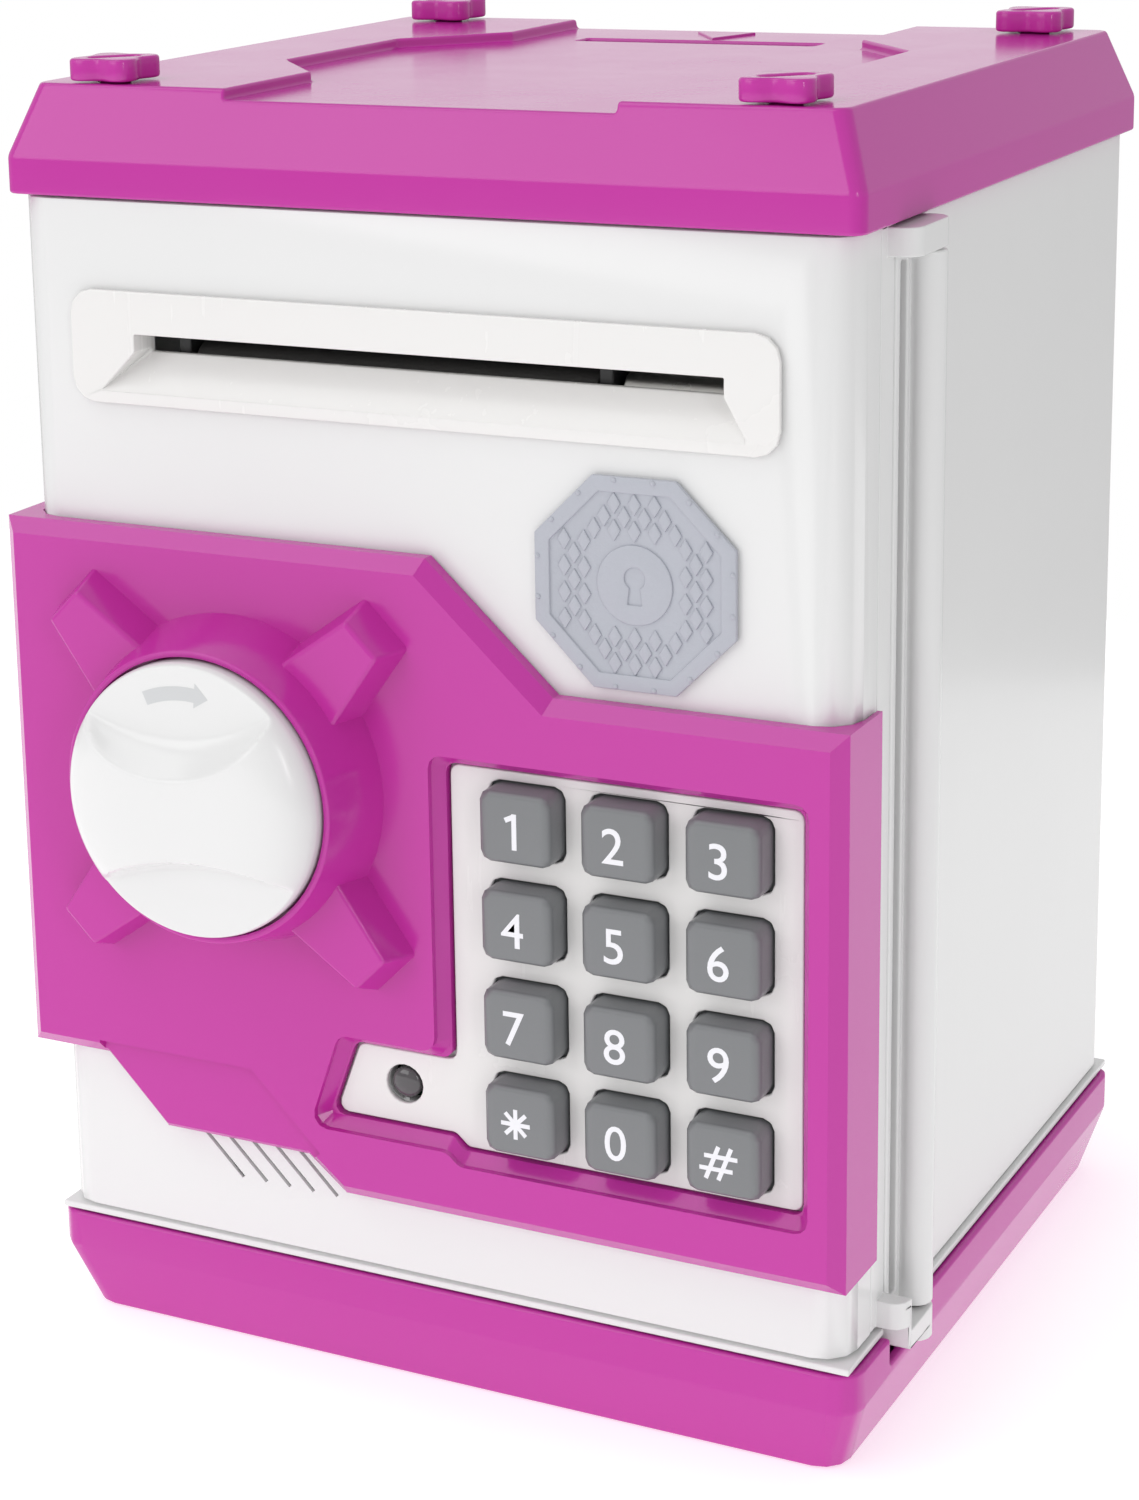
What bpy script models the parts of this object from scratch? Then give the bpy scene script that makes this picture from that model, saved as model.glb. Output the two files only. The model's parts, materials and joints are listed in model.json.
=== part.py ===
"""Toy safe coin bank with a hinged door, turning knob, sliding latch, twelve keys and bill feed.

Every dimension below is in millimetres, and the helpers turn it into metres with MM.
The origin is the centre of the base's underside. -Y is the front and +X is the hinge side.
"""
import math

import bmesh
import bpy
from mathutils import Matrix, Vector

MM = 0.001
GAP = 0.3
SEGMENTS = 32

# Base, body and cap
BASE_HALF = (64.35, 59.65)
BASE_INSET = 3.3
BASE_BAND_Z = 10.2
BASE_TOP = 16.0
BASE_WALL = 1.6
BASE_FLOOR = 2.5
FLOOR_TOP = 17.3
FLOOR_HALF = (63.3, 59.2)
FLOOR_LIP = 1.0
FLOOR_DEEP = 3.0
BODY_HALF_X = 62.6
BODY_FRONT = -43.4
BODY_BACK = 59.0
BODY_TOP = 170.4
WALL = 2.2
BACK_CORNER = 4.0
CAP_HALF = (64.05, 59.4)
CAP_BOTTOM = 170.7
CAP_BAND_Z = 176.1
CAP_TOP = 186.0
CAP_INSET = 3.6
CAP_RECESS = 1.5
CAP_ROOF = 3.7
CAP_WALL = 2.2
PAD_NARROW_X = 29.3
PAD_WIDE_X = 42.0
PAD_NARROW_Y = 32.0
PAD_WIDE_Y = 17.0
COIN_SLOT = (40.0, 4.8)
COIN_SLOT_Y = 38.0
CORNER_BOLT = (50.3, 50.5)
BOLT_RADIUS = 6.2
BOLT_HEIGHT = 3.1

# Hinge, along Z, outside the right wall
HINGE_X = 64.2
HINGE_Y = -36.0
HINGE_RADIUS = 2.6
HINGE_RELIEF_Y = (-41.6, -38.9)
HINGE_RELIEF_Z = (20.0, 165.0)
ROD_RADIUS = 1.0
TOP_EAR = (166.4, 170.2)
LOW_EAR = (12.3, 17.0)
LOW_ARM_Z = 14.4

# Door
DOOR_FACE = -59.0
DOOR_SPLIT = -49.2
DOOR_REAR = -44.0
DOOR_Z = (17.9, 170.3)
DOOR_CORNER = 5.0
DOOR_BACK_WALL = 2.0
DOOR_SCREWS = ((-56.0, 26.0), (56.0, 26.0), (-56.0, 162.0), (56.0, 162.0))

# Bill slot and feed
BEZEL_X = 53.4
BEZEL_Z = (142.0, 158.0)
BEZEL_FRONT = -60.1
SLEEVE_X = 51.4
SLEEVE_Z = (143.3, 156.7)
SLEEVE_END = -54.5
THROAT_X = (-43.0, 45.7)
THROAT_Z = (148.9, 152.0)
RAMP_X = 49.2
RAMP_LOW_Z = 143.7
RAMP_END = -55.5
FEED_Y = -50.6
FEED_Z = 146.9
FEED_RADIUS = 3.2
IDLER_Z = 153.9
IDLER_RADIUS = 3.0
AXLE_RADIUS = 1.2
ROLLER_X = (-37.0, 25.0)
BRACKET_THICK = 2.0
MOTOR_X = (28.8, 52.0)
MOTOR_RADIUS = 3.6

# Pink front panel and what sits in it
PANEL_FRONT = -63.2
PANEL_BACK = DOOR_FACE - GAP
PANEL_SIDE_X = {-1: 65.0, 1: 63.6}
PANEL_SIDE_END = -49.5
PANEL_CHAMFER = 2.0
STEP_TOP_Z = 46.6
STEP_FRONT = -61.9
PANEL_RIGHT_Z = (29.3, 107.2)
PANEL_LEFT_Z = (44.2, 124.6)
KNOB_X = -27.5
KNOB_Z = 90.3
BOSS_RADII = (24.0, 21.0)
BOSS_FRONT = -73.2
KNOB_WELL = 20.2
WELL_FLOOR = -70.5
SPOKE_NEAR = 18.0
SPOKE_REACH = 35.8
SPOKE_BASE = (7.6, 4.6)
SPOKE_FACE = (5.9, 3.1)
SPOKE_FRONT = -68.3
SPOKE_END_SLOPE = 2.2
WINDOW_CHAMFER = 1.5
WINDOW_CORNER = 1.5
SHAFT_RADIUS = 3.6
SHAFT_HOLE = 4.2
PLATE_FRONT = -60.2
KEY_COLUMNS = (16.9, 32.0, 47.1)
KEY_ROWS = (89.0, 74.9, 60.6, 46.6)
KEY_NAMES = (("1", "2", "3"), ("4", "5", "6"), ("7", "8", "9"), ("star", "0", "hash"))
KEY_SIZE = (10.8, 10.1)
KEY_CLEAR = 0.35
KEY_FRONT = -64.2
KEY_STEP = -58.9
KEY_END = -57.7
KEY_FLANGE = 0.9
LED_X = -3.1
LED_Z = 47.3
LED_RADIUS = 2.5
PLAQUE_X = 33.0
PLAQUE_Z = 123.5
PLAQUE_RADIUS = 15.6
GRILLE_TOP_Z = 35.0
GRILLE_FIRST_X = -38.9
GRILLE_PITCH = 3.95
GRILLE_COUNT = 5
GRILLE_LENGTH = 11.0
GRILLE_WIDTH = 0.6

# Knob and latch
KNOB_RADIUS = 19.75
KNOB_BACK = -70.8
KNOB_HEIGHT = 8.6
SCOOP_RADIUS = 22.0
SCOOP_OFFSET = 27.5
SCOOP_FLOOR = -75.6
CAM_RADIUS = 7.0
CAM_Y = (-43.6, -40.3)
CRANK = 4.0
CRANK_HALF_TURN = math.radians(30.0)
PIN_RADIUS = 1.4
BOLT_Y = (-39.5, -36.5)
BOLT_TIP = -54.5
BOLT_END_X = -17.0
BOLT_Z = (81.0, 96.0)
HOUSING_X = (-54.0, -14.0)
HOUSING_Z = (78.5, 100.5)
HOUSING_END = -34.4
KEEPER_X = (-60.1, -55.2)
KEEPER_Y = (-43.0, -40.0)
KEEPER_BACK = -30.0

# Battery box on the inside of the door
BATTERY_BOX_X = (-14.0, 42.0)
BATTERY_BOX_Z = (24.0, 73.0)
BATTERY_BOX_END = -27.5
BATTERY_WALL = 1.5
CELL_RADIUS = 7.0
CELL_X = (-11.2, 39.3)
CELL_Y = -34.9
CELL_Z = (33.3, 48.5, 63.7)

# Board, speaker and key mat inside the door
BOARD_X = (-9.0, 58.0)
BOARD_Y = (-54.3, -52.8)
BOARD_Z = (38.0, 98.0)
MAT_Y = (-56.0, -55.0)
SPEAKER_X = -27.0
SPEAKER_Z = 36.0
SPEAKER_RADIUS = 13.5

# Screws
SCREW_HEAD = 2.7
SCREW_SHANK = 1.3
BASE_SCREW = (52.0, 47.0)

PINK = (0.604, 0.078, 0.407)
WHITE = (0.83, 0.83, 0.83)
KEY_GREY = (0.216, 0.219, 0.235)


def clear_scene():
    for obj in list(bpy.data.objects):
        bpy.data.objects.remove(obj, do_unlink=True)


def new_collection(name):
    collection = bpy.data.collections.new(name)
    bpy.context.scene.collection.children.link(collection)
    return collection


def material(name, color, roughness, metallic=0.0):
    mat = bpy.data.materials.new(name)
    mat.use_nodes = True
    shader = mat.node_tree.nodes["Principled BSDF"]
    shader.inputs["Base Color"].default_value = (*color, 1.0)
    shader.inputs["Roughness"].default_value = roughness
    shader.inputs["Metallic"].default_value = metallic
    return mat


def add_mesh(name, bm):
    """Makes an object from a bmesh whose sizes are in millimetres."""
    bmesh.ops.scale(bm, vec=(MM, MM, MM), verts=bm.verts)
    bmesh.ops.recalc_face_normals(bm, faces=bm.faces)
    mesh = bpy.data.meshes.new(name)
    bm.to_mesh(mesh)
    bm.free()
    obj = bpy.data.objects.new(name, mesh)
    PARTS.objects.link(obj)
    return obj


def finish(obj, mat, smooth_angle=35.0):
    obj.data.materials.clear()
    obj.data.materials.append(mat)
    obj.data.shade_smooth()
    obj.data.set_sharp_from_angle(angle=math.radians(smooth_angle))
    return obj


def set_origin(obj, point):
    """Moves the object's origin to a point, leaving its shape where it is."""
    place = Vector(point) * MM
    obj.data.transform(Matrix.Translation(-place))
    obj.location = place
    return obj


def as_cutter(obj):
    PARTS.objects.unlink(obj)
    CUTTERS.objects.link(obj)
    obj.hide_render = True
    obj.display_type = "WIRE"
    return obj


def boolean(obj, tool, operation):
    modifier = obj.modifiers.new(operation.title(), "BOOLEAN")
    modifier.operation = operation
    modifier.solver = "EXACT"
    modifier.object = as_cutter(tool) if tool.name in PARTS.objects else tool


def cut(obj, *tools):
    for tool in tools:
        boolean(obj, tool, "DIFFERENCE")
    return obj


def join(obj, *tools):
    for tool in tools:
        boolean(obj, tool, "UNION")
    return obj


def block_bmesh(x, y, z):
    """A box between two values on each axis, grown from a unit cube."""
    bm = bmesh.new()
    bmesh.ops.create_cube(bm, size=1.0)
    bmesh.ops.scale(bm, vec=(x[1] - x[0], y[1] - y[0], z[1] - z[0]), verts=bm.verts)
    centre = ((x[0] + x[1]) / 2, (y[0] + y[1]) / 2, (z[0] + z[1]) / 2)
    bmesh.ops.translate(bm, vec=centre, verts=bm.verts)
    return bm


def round_edges(bm, picks, radius, segments=3):
    """Rounds the edges for which picks(start, end) holds."""
    edges = [edge for edge in bm.edges if picks(edge.verts[0].co, edge.verts[1].co)]
    bmesh.ops.bevel(bm, geom=edges, offset=radius, segments=segments, profile=0.5, affect="EDGES")


def along(axis):
    """Picks the edges that run along one axis: 0, 1 or 2."""
    others = [n for n in range(3) if n != axis]
    return lambda a, b: all(abs(a[n] - b[n]) < 1e-4 for n in others)


def lying_at(axis, value):
    """Picks the edges that lie in the plane where one coordinate has this value."""
    return lambda a, b: abs(a[axis] - value) < 1e-3 and abs(b[axis] - value) < 1e-3


def block(name, x, y, z, radius=0.0, picks=None, segments=3):
    bm = block_bmesh(x, y, z)
    if radius:
        round_edges(bm, picks or (lambda a, b: True), radius, segments)
    return add_mesh(name, bm)


def grow_end(bm, faces, move, scale):
    """Extrudes faces at the end of a solid, then moves and scales the new end. Returns it."""
    grown = bmesh.ops.extrude_face_region(bm, geom=faces)
    old = [face for face in faces if face.is_valid]
    if old:
        bmesh.ops.delete(bm, geom=old, context="FACES_ONLY")
    verts = [item for item in grown["geom"] if isinstance(item, bmesh.types.BMVert)]
    bmesh.ops.scale(bm, vec=scale, verts=verts)
    bmesh.ops.translate(bm, vec=move, verts=verts)
    return [item for item in grown["geom"] if isinstance(item, bmesh.types.BMFace)]


def stacked(name, levels, corner=0.0):
    """Rectangles (height, half width, half depth) joined in order, with the upright edges rounded."""
    (low, low_x, low_y), (high, high_x, high_y) = levels[:2]
    bm = block_bmesh((-1, 1), (-1, 1), (low, high))
    for vert in bm.verts:
        at_low = abs(vert.co.z - low) < 1e-6
        vert.co.x *= low_x if at_low else high_x
        vert.co.y *= low_y if at_low else high_y
    bm.normal_update()
    end = [face for face in bm.faces if face.normal.z > 0.9]
    for (last, last_x, last_y), (height, half_x, half_y) in zip(levels[1:], levels[2:]):
        end = grow_end(bm, end, (0, 0, height - last), (half_x / last_x, half_y / last_y, 1))
    if corner:
        round_edges(bm, lambda a, b: abs(a.z - b.z) > 1e-3, corner)
    return add_mesh(name, bm)


def rod(name, radius, start, end, segments=SEGMENTS, radius_end=None):
    """A cylinder or a cone between two points."""
    start = Vector(start)
    end = Vector(end)
    bm = bmesh.new()
    bmesh.ops.create_cone(bm, cap_ends=True, segments=segments, radius1=radius,
                          radius2=radius if radius_end is None else radius_end, depth=(end - start).length)
    turn = Vector((0, 0, 1)).rotation_difference(end - start).to_matrix()
    bmesh.ops.rotate(bm, cent=(0, 0, 0), matrix=turn, verts=bm.verts)
    bmesh.ops.translate(bm, vec=(start + end) / 2, verts=bm.verts)
    return add_mesh(name, bm)


def turned(name, profile, place, axis, steps=SEGMENTS):
    """A profile of (radius, height), top to bottom down its outer side, turned about an axis."""
    bm = bmesh.new()
    verts = [bm.verts.new((radius, 0, height)) for radius, height in profile]
    for first, second in zip(verts, verts[1:]):
        bm.edges.new((first, second))
    obj = add_mesh(name, bm)
    obj.location = Vector(place) * MM
    obj.rotation_euler = Vector((0, 0, 1)).rotation_difference(Vector(axis)).to_euler()
    screw = obj.modifiers.new("Screw", "SCREW")
    screw.steps = steps
    screw.render_steps = steps
    screw.use_merge_vertices = True
    screw.merge_threshold = 0.00001
    return obj


def rounded(points, radius, steps=3):
    """An outline with each corner replaced by an arc of this radius, where it fits."""
    result = []
    count = len(points)
    for index, point in enumerate(points):
        corner = Vector(point)
        to_last = Vector(points[index - 1]) - corner
        to_next = Vector(points[(index + 1) % count]) - corner
        half = to_last.angle(to_next) / 2
        setback = min(radius / math.tan(half), to_last.length * 0.45, to_next.length * 0.45)
        reach = setback * math.tan(half)
        centre = corner + (to_last.normalized() + to_next.normalized()).normalized() * reach / math.sin(half)
        first = corner + to_last.normalized() * setback - centre
        last = corner + to_next.normalized() * setback - centre
        sweep = math.atan2(first.x * last.y - first.y * last.x, first.dot(last))
        for step in range(steps + 1):
            result.append(tuple(centre + Matrix.Rotation(sweep * step / steps, 2) @ first))
    return result


def outline(name, points, low, high, plane="XZ", radius=0.0, edge=0.0, edge_at=None):
    """A flat outline as a filled 2D curve, thickened between two heights and made a mesh.

    On plane XZ the thickness runs along Y, and on XY along Z.
    """
    curve = bpy.data.curves.new(name, "CURVE")
    curve.dimensions = "2D"
    curve.fill_mode = "BOTH"
    curve.extrude = (high - low) / 2 * MM
    corners = rounded(points, radius) if radius else points
    spline = curve.splines.new("POLY")
    spline.points.add(len(corners) - 1)
    for target, (across, up) in zip(spline.points, corners):
        target.co = (across * MM, up * MM, 0.0, 1.0)
    spline.use_cyclic_u = True
    guide = bpy.data.objects.new(name + "_curve", curve)
    PARTS.objects.link(guide)
    middle = (low + high) / 2 * MM
    if plane == "XZ":
        guide.rotation_euler = (math.pi / 2, 0, 0)
        guide.location = (0, middle, 0)
    else:
        guide.location = (0, 0, middle)
    bpy.context.view_layer.update()
    evaluated = guide.evaluated_get(bpy.context.evaluated_depsgraph_get())
    mesh = bpy.data.meshes.new_from_object(evaluated)
    mesh.transform(guide.matrix_world)
    bpy.data.objects.remove(guide, do_unlink=True)
    bm = bmesh.new()
    bm.from_mesh(mesh)
    bmesh.ops.scale(bm, vec=(1 / MM, 1 / MM, 1 / MM), verts=bm.verts)
    bmesh.ops.remove_doubles(bm, verts=bm.verts, dist=0.001)
    bmesh.ops.dissolve_limit(bm, angle_limit=0.001, verts=bm.verts, edges=bm.edges)
    bmesh.ops.recalc_face_normals(bm, faces=bm.faces)
    if edge:
        round_edges(bm, edge_at, edge, 1)
    return add_mesh(name, bm)


def open_box(name, x, y, z, missing, thickness, radius=0.0, picks=None):
    """A box without the named sides, thickened inwards with Solidify.

    missing holds unit directions, such as (0, -1, 0) for an open front.
    """
    bm = block_bmesh(x, y, z)
    bm.normal_update()
    gone = [face for face in bm.faces if any(face.normal.dot(Vector(side)) > 0.9 for side in missing)]
    bmesh.ops.delete(bm, geom=gone, context="FACES")
    if radius:
        round_edges(bm, picks, radius)
    obj = add_mesh(name, bm)
    solid = obj.modifiers.new("Solidify", "SOLIDIFY")
    solid.thickness = thickness * MM
    solid.offset = -1.0
    solid.use_even_offset = True
    return obj


def bottom_ear_pocket(name):
    """The notch that the door's lower hinge ear turns in."""
    return block(name, (60.9, 70.0), (-45.6, HINGE_Y + HINGE_RADIUS + 0.6), (11.9, 20.0))


def screw_place(name, x, y, z, axis, length, mat, head_height=1.6):
    """A pan-head screw whose head ends at the given point; its shank runs against the axis."""
    profile = [(0.0, head_height), (SCREW_HEAD * 0.7, head_height), (SCREW_HEAD, head_height * 0.5),
               (SCREW_HEAD, 0.0), (SCREW_SHANK, 0.0), (SCREW_SHANK, -length), (0.0, -length)]
    screw = turned(name, profile, (x, y, z), axis, 16)
    return finish(screw, mat)


def build_base(pink, white, steel):
    half_x, half_y = BASE_HALF
    tray = stacked("base_tray", [(0.0, half_x - BASE_INSET, half_y - BASE_INSET),
                                 (BASE_BAND_Z, half_x, half_y), (BASE_TOP, half_x, half_y)],
                   corner=4.0)
    inner = stacked("base_inside", [(BASE_FLOOR, half_x - BASE_INSET - 1.2, half_y - BASE_INSET - 1.2),
                                    (BASE_BAND_Z, half_x - BASE_WALL, half_y - BASE_WALL),
                                    (BASE_TOP + 2, half_x - BASE_WALL, half_y - BASE_WALL)], corner=3.0)
    cut(tray, inner)
    panel_low = FLOOR_TOP - FLOOR_DEEP
    inner_x = half_x - BASE_WALL - 1.2
    inner_y = half_y - BASE_WALL - 1.2
    panel = stacked("floor_panel", [(panel_low, inner_x, inner_y), (FLOOR_TOP - FLOOR_LIP, inner_x, inner_y),
                                    (FLOOR_TOP - FLOOR_LIP, *FLOOR_HALF), (FLOOR_TOP, *FLOOR_HALF)])
    for index, (sx, sy) in enumerate(((-1, -1), (1, -1), (-1, 1), (1, 1))):
        x = sx * BASE_SCREW[0]
        y = sy * BASE_SCREW[1]
        join(tray, rod(f"base_post_{index}", 3.4, (x, y, BASE_FLOOR - 1), (x, y, panel_low - GAP), 20))
        cut(tray, rod(f"base_screw_recess_{index}", 3.2, (x, y, -1), (x, y, 1.9), 20),
            rod(f"base_screw_hole_{index}", 1.7, (x, y, 1), (x, y, 16), 16))
        cut(panel, rod(f"panel_screw_hole_{index}", 1.7, (x, y, 10), (x, y, FLOOR_TOP - 0.7), 16))
        screw_place(f"base_screw_{index + 1}", x, y, 1.6, (0, 0, -1), 14.0, steel, 1.3)
    cut(tray, bottom_ear_pocket("tray_ear_pocket"))
    cut(panel, bottom_ear_pocket("panel_ear_pocket"))
    finish(tray, pink)
    finish(panel, white)


def build_body_shell(white):
    z_low = FLOOR_TOP + GAP
    shell = open_box("body_shell", (-BODY_HALF_X, BODY_HALF_X), (BODY_FRONT, BODY_BACK), (z_low, BODY_TOP),
                     ((0, -1, 0), (0, 0, 1), (0, 0, -1)), WALL, BACK_CORNER,
                     lambda a, b: along(2)(a, b) and a.y > 0)
    axis = (HINGE_X, HINGE_Y)
    join(shell, rod("hinge_barrel", HINGE_RADIUS, (*axis, z_low), (*axis, TOP_EAR[0] - 0.4), 24))
    cut(shell, block("hinge_relief", (HINGE_X - HINGE_RADIUS - 2, HINGE_X), HINGE_RELIEF_Y, HINGE_RELIEF_Z),
        block("ear_notch", (58.0, 70.0), (-48.0, HINGE_Y + HINGE_RADIUS + 0.6), (TOP_EAR[0] - 0.4, 180.0)),
        rod("barrel_bore", ROD_RADIUS + GAP, (*axis, 0), (*axis, 180), 16))
    finish(shell, white)


def build_cap(pink):
    half_x, half_y = CAP_HALF
    cap = stacked("top_cap", [(CAP_BOTTOM, half_x, half_y), (CAP_BAND_Z, half_x, half_y),
                              (CAP_TOP, half_x - CAP_INSET, half_y - CAP_INSET)], corner=2.0)
    roof = CAP_TOP - CAP_ROOF
    inner = stacked("cap_inside", [(CAP_BOTTOM - 2, half_x - CAP_WALL, half_y - CAP_WALL),
                                   (CAP_BAND_Z - 0.6, half_x - CAP_WALL, half_y - CAP_WALL),
                                   (roof, half_x - CAP_INSET - 1.1, half_y - CAP_INSET - 1.1)])
    quarter = [(PAD_NARROW_X, -half_y - 5), (PAD_NARROW_X, -PAD_NARROW_Y), (PAD_WIDE_X, -PAD_WIDE_Y)]
    right = quarter + [(x, -y) for x, y in reversed(quarter)]
    recess = outline("cap_recess", right + [(-x, y) for x, y in reversed(right)],
                     CAP_TOP - CAP_RECESS, CAP_TOP + 3, "XY")
    slot = block("coin_slot", (-COIN_SLOT[0] / 2, COIN_SLOT[0] / 2),
                 (COIN_SLOT_Y - COIN_SLOT[1] / 2, COIN_SLOT_Y + COIN_SLOT[1] / 2), (160, 195))
    cut(cap, inner, recess, slot)
    for sx in (-1, 1):
        for sy in (-1, 1):
            x = sx * CORNER_BOLT[0]
            y = sy * CORNER_BOLT[1]
            cut(cap, rod(f"cap_bolt_hole_{sx}_{sy}", 2.3, (x, y, 160), (x, y, 195), 16))
    finish(cap, pink)


def build_corner_bolts(pink):
    """Four round-headed bolts with a slot across each head."""
    profile = [(0.0, BOLT_HEIGHT), (BOLT_RADIUS - 1.2, BOLT_HEIGHT), (BOLT_RADIUS - 0.3, BOLT_HEIGHT - 0.4),
               (BOLT_RADIUS, BOLT_HEIGHT - 1.2), (BOLT_RADIUS, 0.0), (2.0, 0.0), (2.0, -5.5), (0.0, -5.5)]
    for name, sx, sy in (("front_left", -1, -1), ("front_right", 1, -1),
                         ("back_left", -1, 1), ("back_right", 1, 1)):
        x = sx * CORNER_BOLT[0]
        y = sy * CORNER_BOLT[1]
        bolt = turned(f"corner_bolt_{name}", profile, (x, y, CAP_TOP + GAP), (0, 0, 1), 24)
        cut(bolt, block(f"bolt_slot_{name}", (x - 3.6, x + 3.6), (y - 0.8, y + 0.8),
                        (CAP_TOP + BOLT_HEIGHT - 0.7, CAP_TOP + 8)))
        finish(bolt, pink)


def build_hinge_rod(steel):
    pin = rod("hinge_rod", ROD_RADIUS, (HINGE_X, HINGE_Y, LOW_EAR[0] + 1.6),
              (HINGE_X, HINGE_Y, TOP_EAR[1] - 0.8), 16)
    finish(pin, steel)


def build_keeper(white):
    """An angle on the left wall: the bolt slides in behind its lip."""
    lip = block("latch_keeper", KEEPER_X, KEEPER_Y, (79.0, 98.0))
    join(lip, block("keeper_foot", (KEEPER_X[0], KEEPER_X[0] + 1.0), (KEEPER_Y[0] + 0.5, KEEPER_BACK),
                    (79.0, 98.0)))
    finish(lip, white)


def build_door_front(white):
    shell = open_box("door_front", (-BODY_HALF_X, BODY_HALF_X), (DOOR_FACE, DOOR_SPLIT), DOOR_Z,
                     ((0, 1, 0),), WALL, DOOR_CORNER, lambda a, b: along(2)(a, b) and a.y < DOOR_FACE + 1)
    for index, (x, z) in enumerate(DOOR_SCREWS):
        join(shell, rod(f"door_post_{index}", 3.2, (x, DOOR_FACE + 1.2, z), (x, DOOR_SPLIT, z), 20))
        cut(shell, rod(f"door_post_hole_{index}", 1.6, (x, DOOR_FACE + 4, z), (x, DOOR_SPLIT + 4, z), 16))
    sleeve = block("sleeve_hole", (-SLEEVE_X - 0.4, SLEEVE_X + 0.4), (-70, -52),
                   (SLEEVE_Z[0] - 0.4, SLEEVE_Z[1] + 0.4))
    shaft = rod("front_shaft_hole", SHAFT_HOLE, (KNOB_X, -70, KNOB_Z), (KNOB_X, -50, KNOB_Z), 24)
    keys = block("keypad_hole", (KEY_COLUMNS[0] - 7.0, KEY_COLUMNS[2] + 7.0), (-70, -52),
                 (KEY_ROWS[3] - 6.6, KEY_ROWS[0] + 6.6))
    lamp = rod("front_led_hole", LED_RADIUS + 0.5, (LED_X, -70, LED_Z), (LED_X, -50, LED_Z), 20)
    cut(shell, sleeve, shaft, keys, lamp)
    half = GRILLE_LENGTH / 2
    for index in range(GRILLE_COUNT):
        bm = block_bmesh((-half, half), (-70, -52), (-GRILLE_WIDTH / 2, GRILLE_WIDTH / 2))
        turn = Matrix.Rotation(math.radians(45), 3, "Y")
        bmesh.ops.rotate(bm, cent=(0, 0, 0), matrix=turn, verts=bm.verts)
        reach = half * math.cos(math.radians(45))
        bmesh.ops.translate(bm, vec=(GRILLE_FIRST_X + GRILLE_PITCH * index + reach, 0, GRILLE_TOP_Z - reach),
                            verts=bm.verts)
        cut(shell, add_mesh(f"grille_slot_{index}", bm))
    finish(shell, white)


def build_door_back(white):
    """The door's inner cover, with the two ears that turn on the hinge rod."""
    front = DOOR_SPLIT + GAP
    shell = open_box("door_back", (-BODY_HALF_X, BODY_HALF_X), (front, DOOR_REAR), DOOR_Z,
                     ((0, -1, 0),), DOOR_BACK_WALL)
    outer = HINGE_X + HINGE_RADIUS
    inner = HINGE_X - HINGE_RADIUS
    for name, low, high, arm_low in (("top", *TOP_EAR, TOP_EAR[0]), ("low", *LOW_EAR, LOW_ARM_Z)):
        root_low = max(arm_low, DOOR_Z[0])
        root_high = max(high, DOOR_Z[0] + 4)
        join(shell, block(f"{name}_ear_root", (inner - 2, outer), (DOOR_REAR - 3, DOOR_REAR),
                          (root_low, root_high),
                          2.4, lambda a, b: along(2)(a, b) and a.x > inner and a.y < DOOR_REAR - 1),
             block(f"{name}_ear_arm", (inner, outer), (DOOR_REAR - 0.6, HINGE_Y), (arm_low, high)),
             rod(f"{name}_ear", HINGE_RADIUS, (HINGE_X, HINGE_Y, low), (HINGE_X, HINGE_Y, high), 24))
    low_link = block("low_ear_link", (inner, outer), (DOOR_REAR - 0.9, DOOR_REAR),
                     (LOW_ARM_Z + 0.2, DOOR_Z[0] + 3))
    join(shell, low_link)
    rod_hole = rod("ear_bore", ROD_RADIUS + GAP, (HINGE_X, HINGE_Y, LOW_EAR[0] + 1.2),
                   (HINGE_X, HINGE_Y, TOP_EAR[1] - 0.5), 16)
    bill_exit = block("bill_exit", (THROAT_X[0] - 1, THROAT_X[1] + 1), (-50, -40), (148.0, 153.6))
    shaft = rod("back_shaft_hole", SHAFT_HOLE, (KNOB_X, -50, KNOB_Z), (KNOB_X, -40, KNOB_Z), 24)
    cut(shell, rod_hole, bill_exit, shaft)
    for index, (x, z) in enumerate(DOOR_SCREWS):
        cut(shell, rod(f"back_screw_hole_{index}", 1.6, (x, -52, z), (x, -40, z), 16))
    finish(shell, white)


def build_bezel(white):
    """The raised frame of the bill slot, with a ramp below and flared ends that lead to the throat."""
    frame = block("bill_slot_bezel", (-BEZEL_X, BEZEL_X), (BEZEL_FRONT, PANEL_BACK), BEZEL_Z, 3.5, along(1))
    join(frame, block("bezel_sleeve", (-SLEEVE_X, SLEEVE_X), (PANEL_BACK - 0.4, SLEEVE_END), SLEEVE_Z))
    ramp = block_bmesh((-1, 1), (BEZEL_FRONT - 0.5, RAMP_END), (0, 1))
    for vert in ramp.verts:
        flared = vert.co.y < RAMP_END - 1 and vert.co.z < 0.5
        if vert.co.x < 0:
            vert.co.x = -RAMP_X if flared else THROAT_X[0]
        else:
            vert.co.x = RAMP_X if flared else THROAT_X[1]
        if vert.co.z > 0.5:
            vert.co.z = THROAT_Z[0] + 0.6
        else:
            vert.co.z = RAMP_LOW_Z - 0.5 if flared else THROAT_Z[0]
    throat = block("bill_throat", THROAT_X, (BEZEL_FRONT - 1, -50), THROAT_Z)
    cut(frame, add_mesh("bill_ramp", ramp), throat)
    finish(frame, white)


def panel_outline():
    right_low, right_high = PANEL_RIGHT_Z
    left_low, left_high = PANEL_LEFT_Z
    left, right = -PANEL_SIDE_X[-1], PANEL_SIDE_X[1]
    return [(left, left_high), (2.7, left_high), (21.6, right_high), (right, right_high), (right, right_low),
            (-12.5, right_low), (-18.5, 34.2), (-42.4, 34.2), (-52.2, left_low), (left, left_low)]


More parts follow.
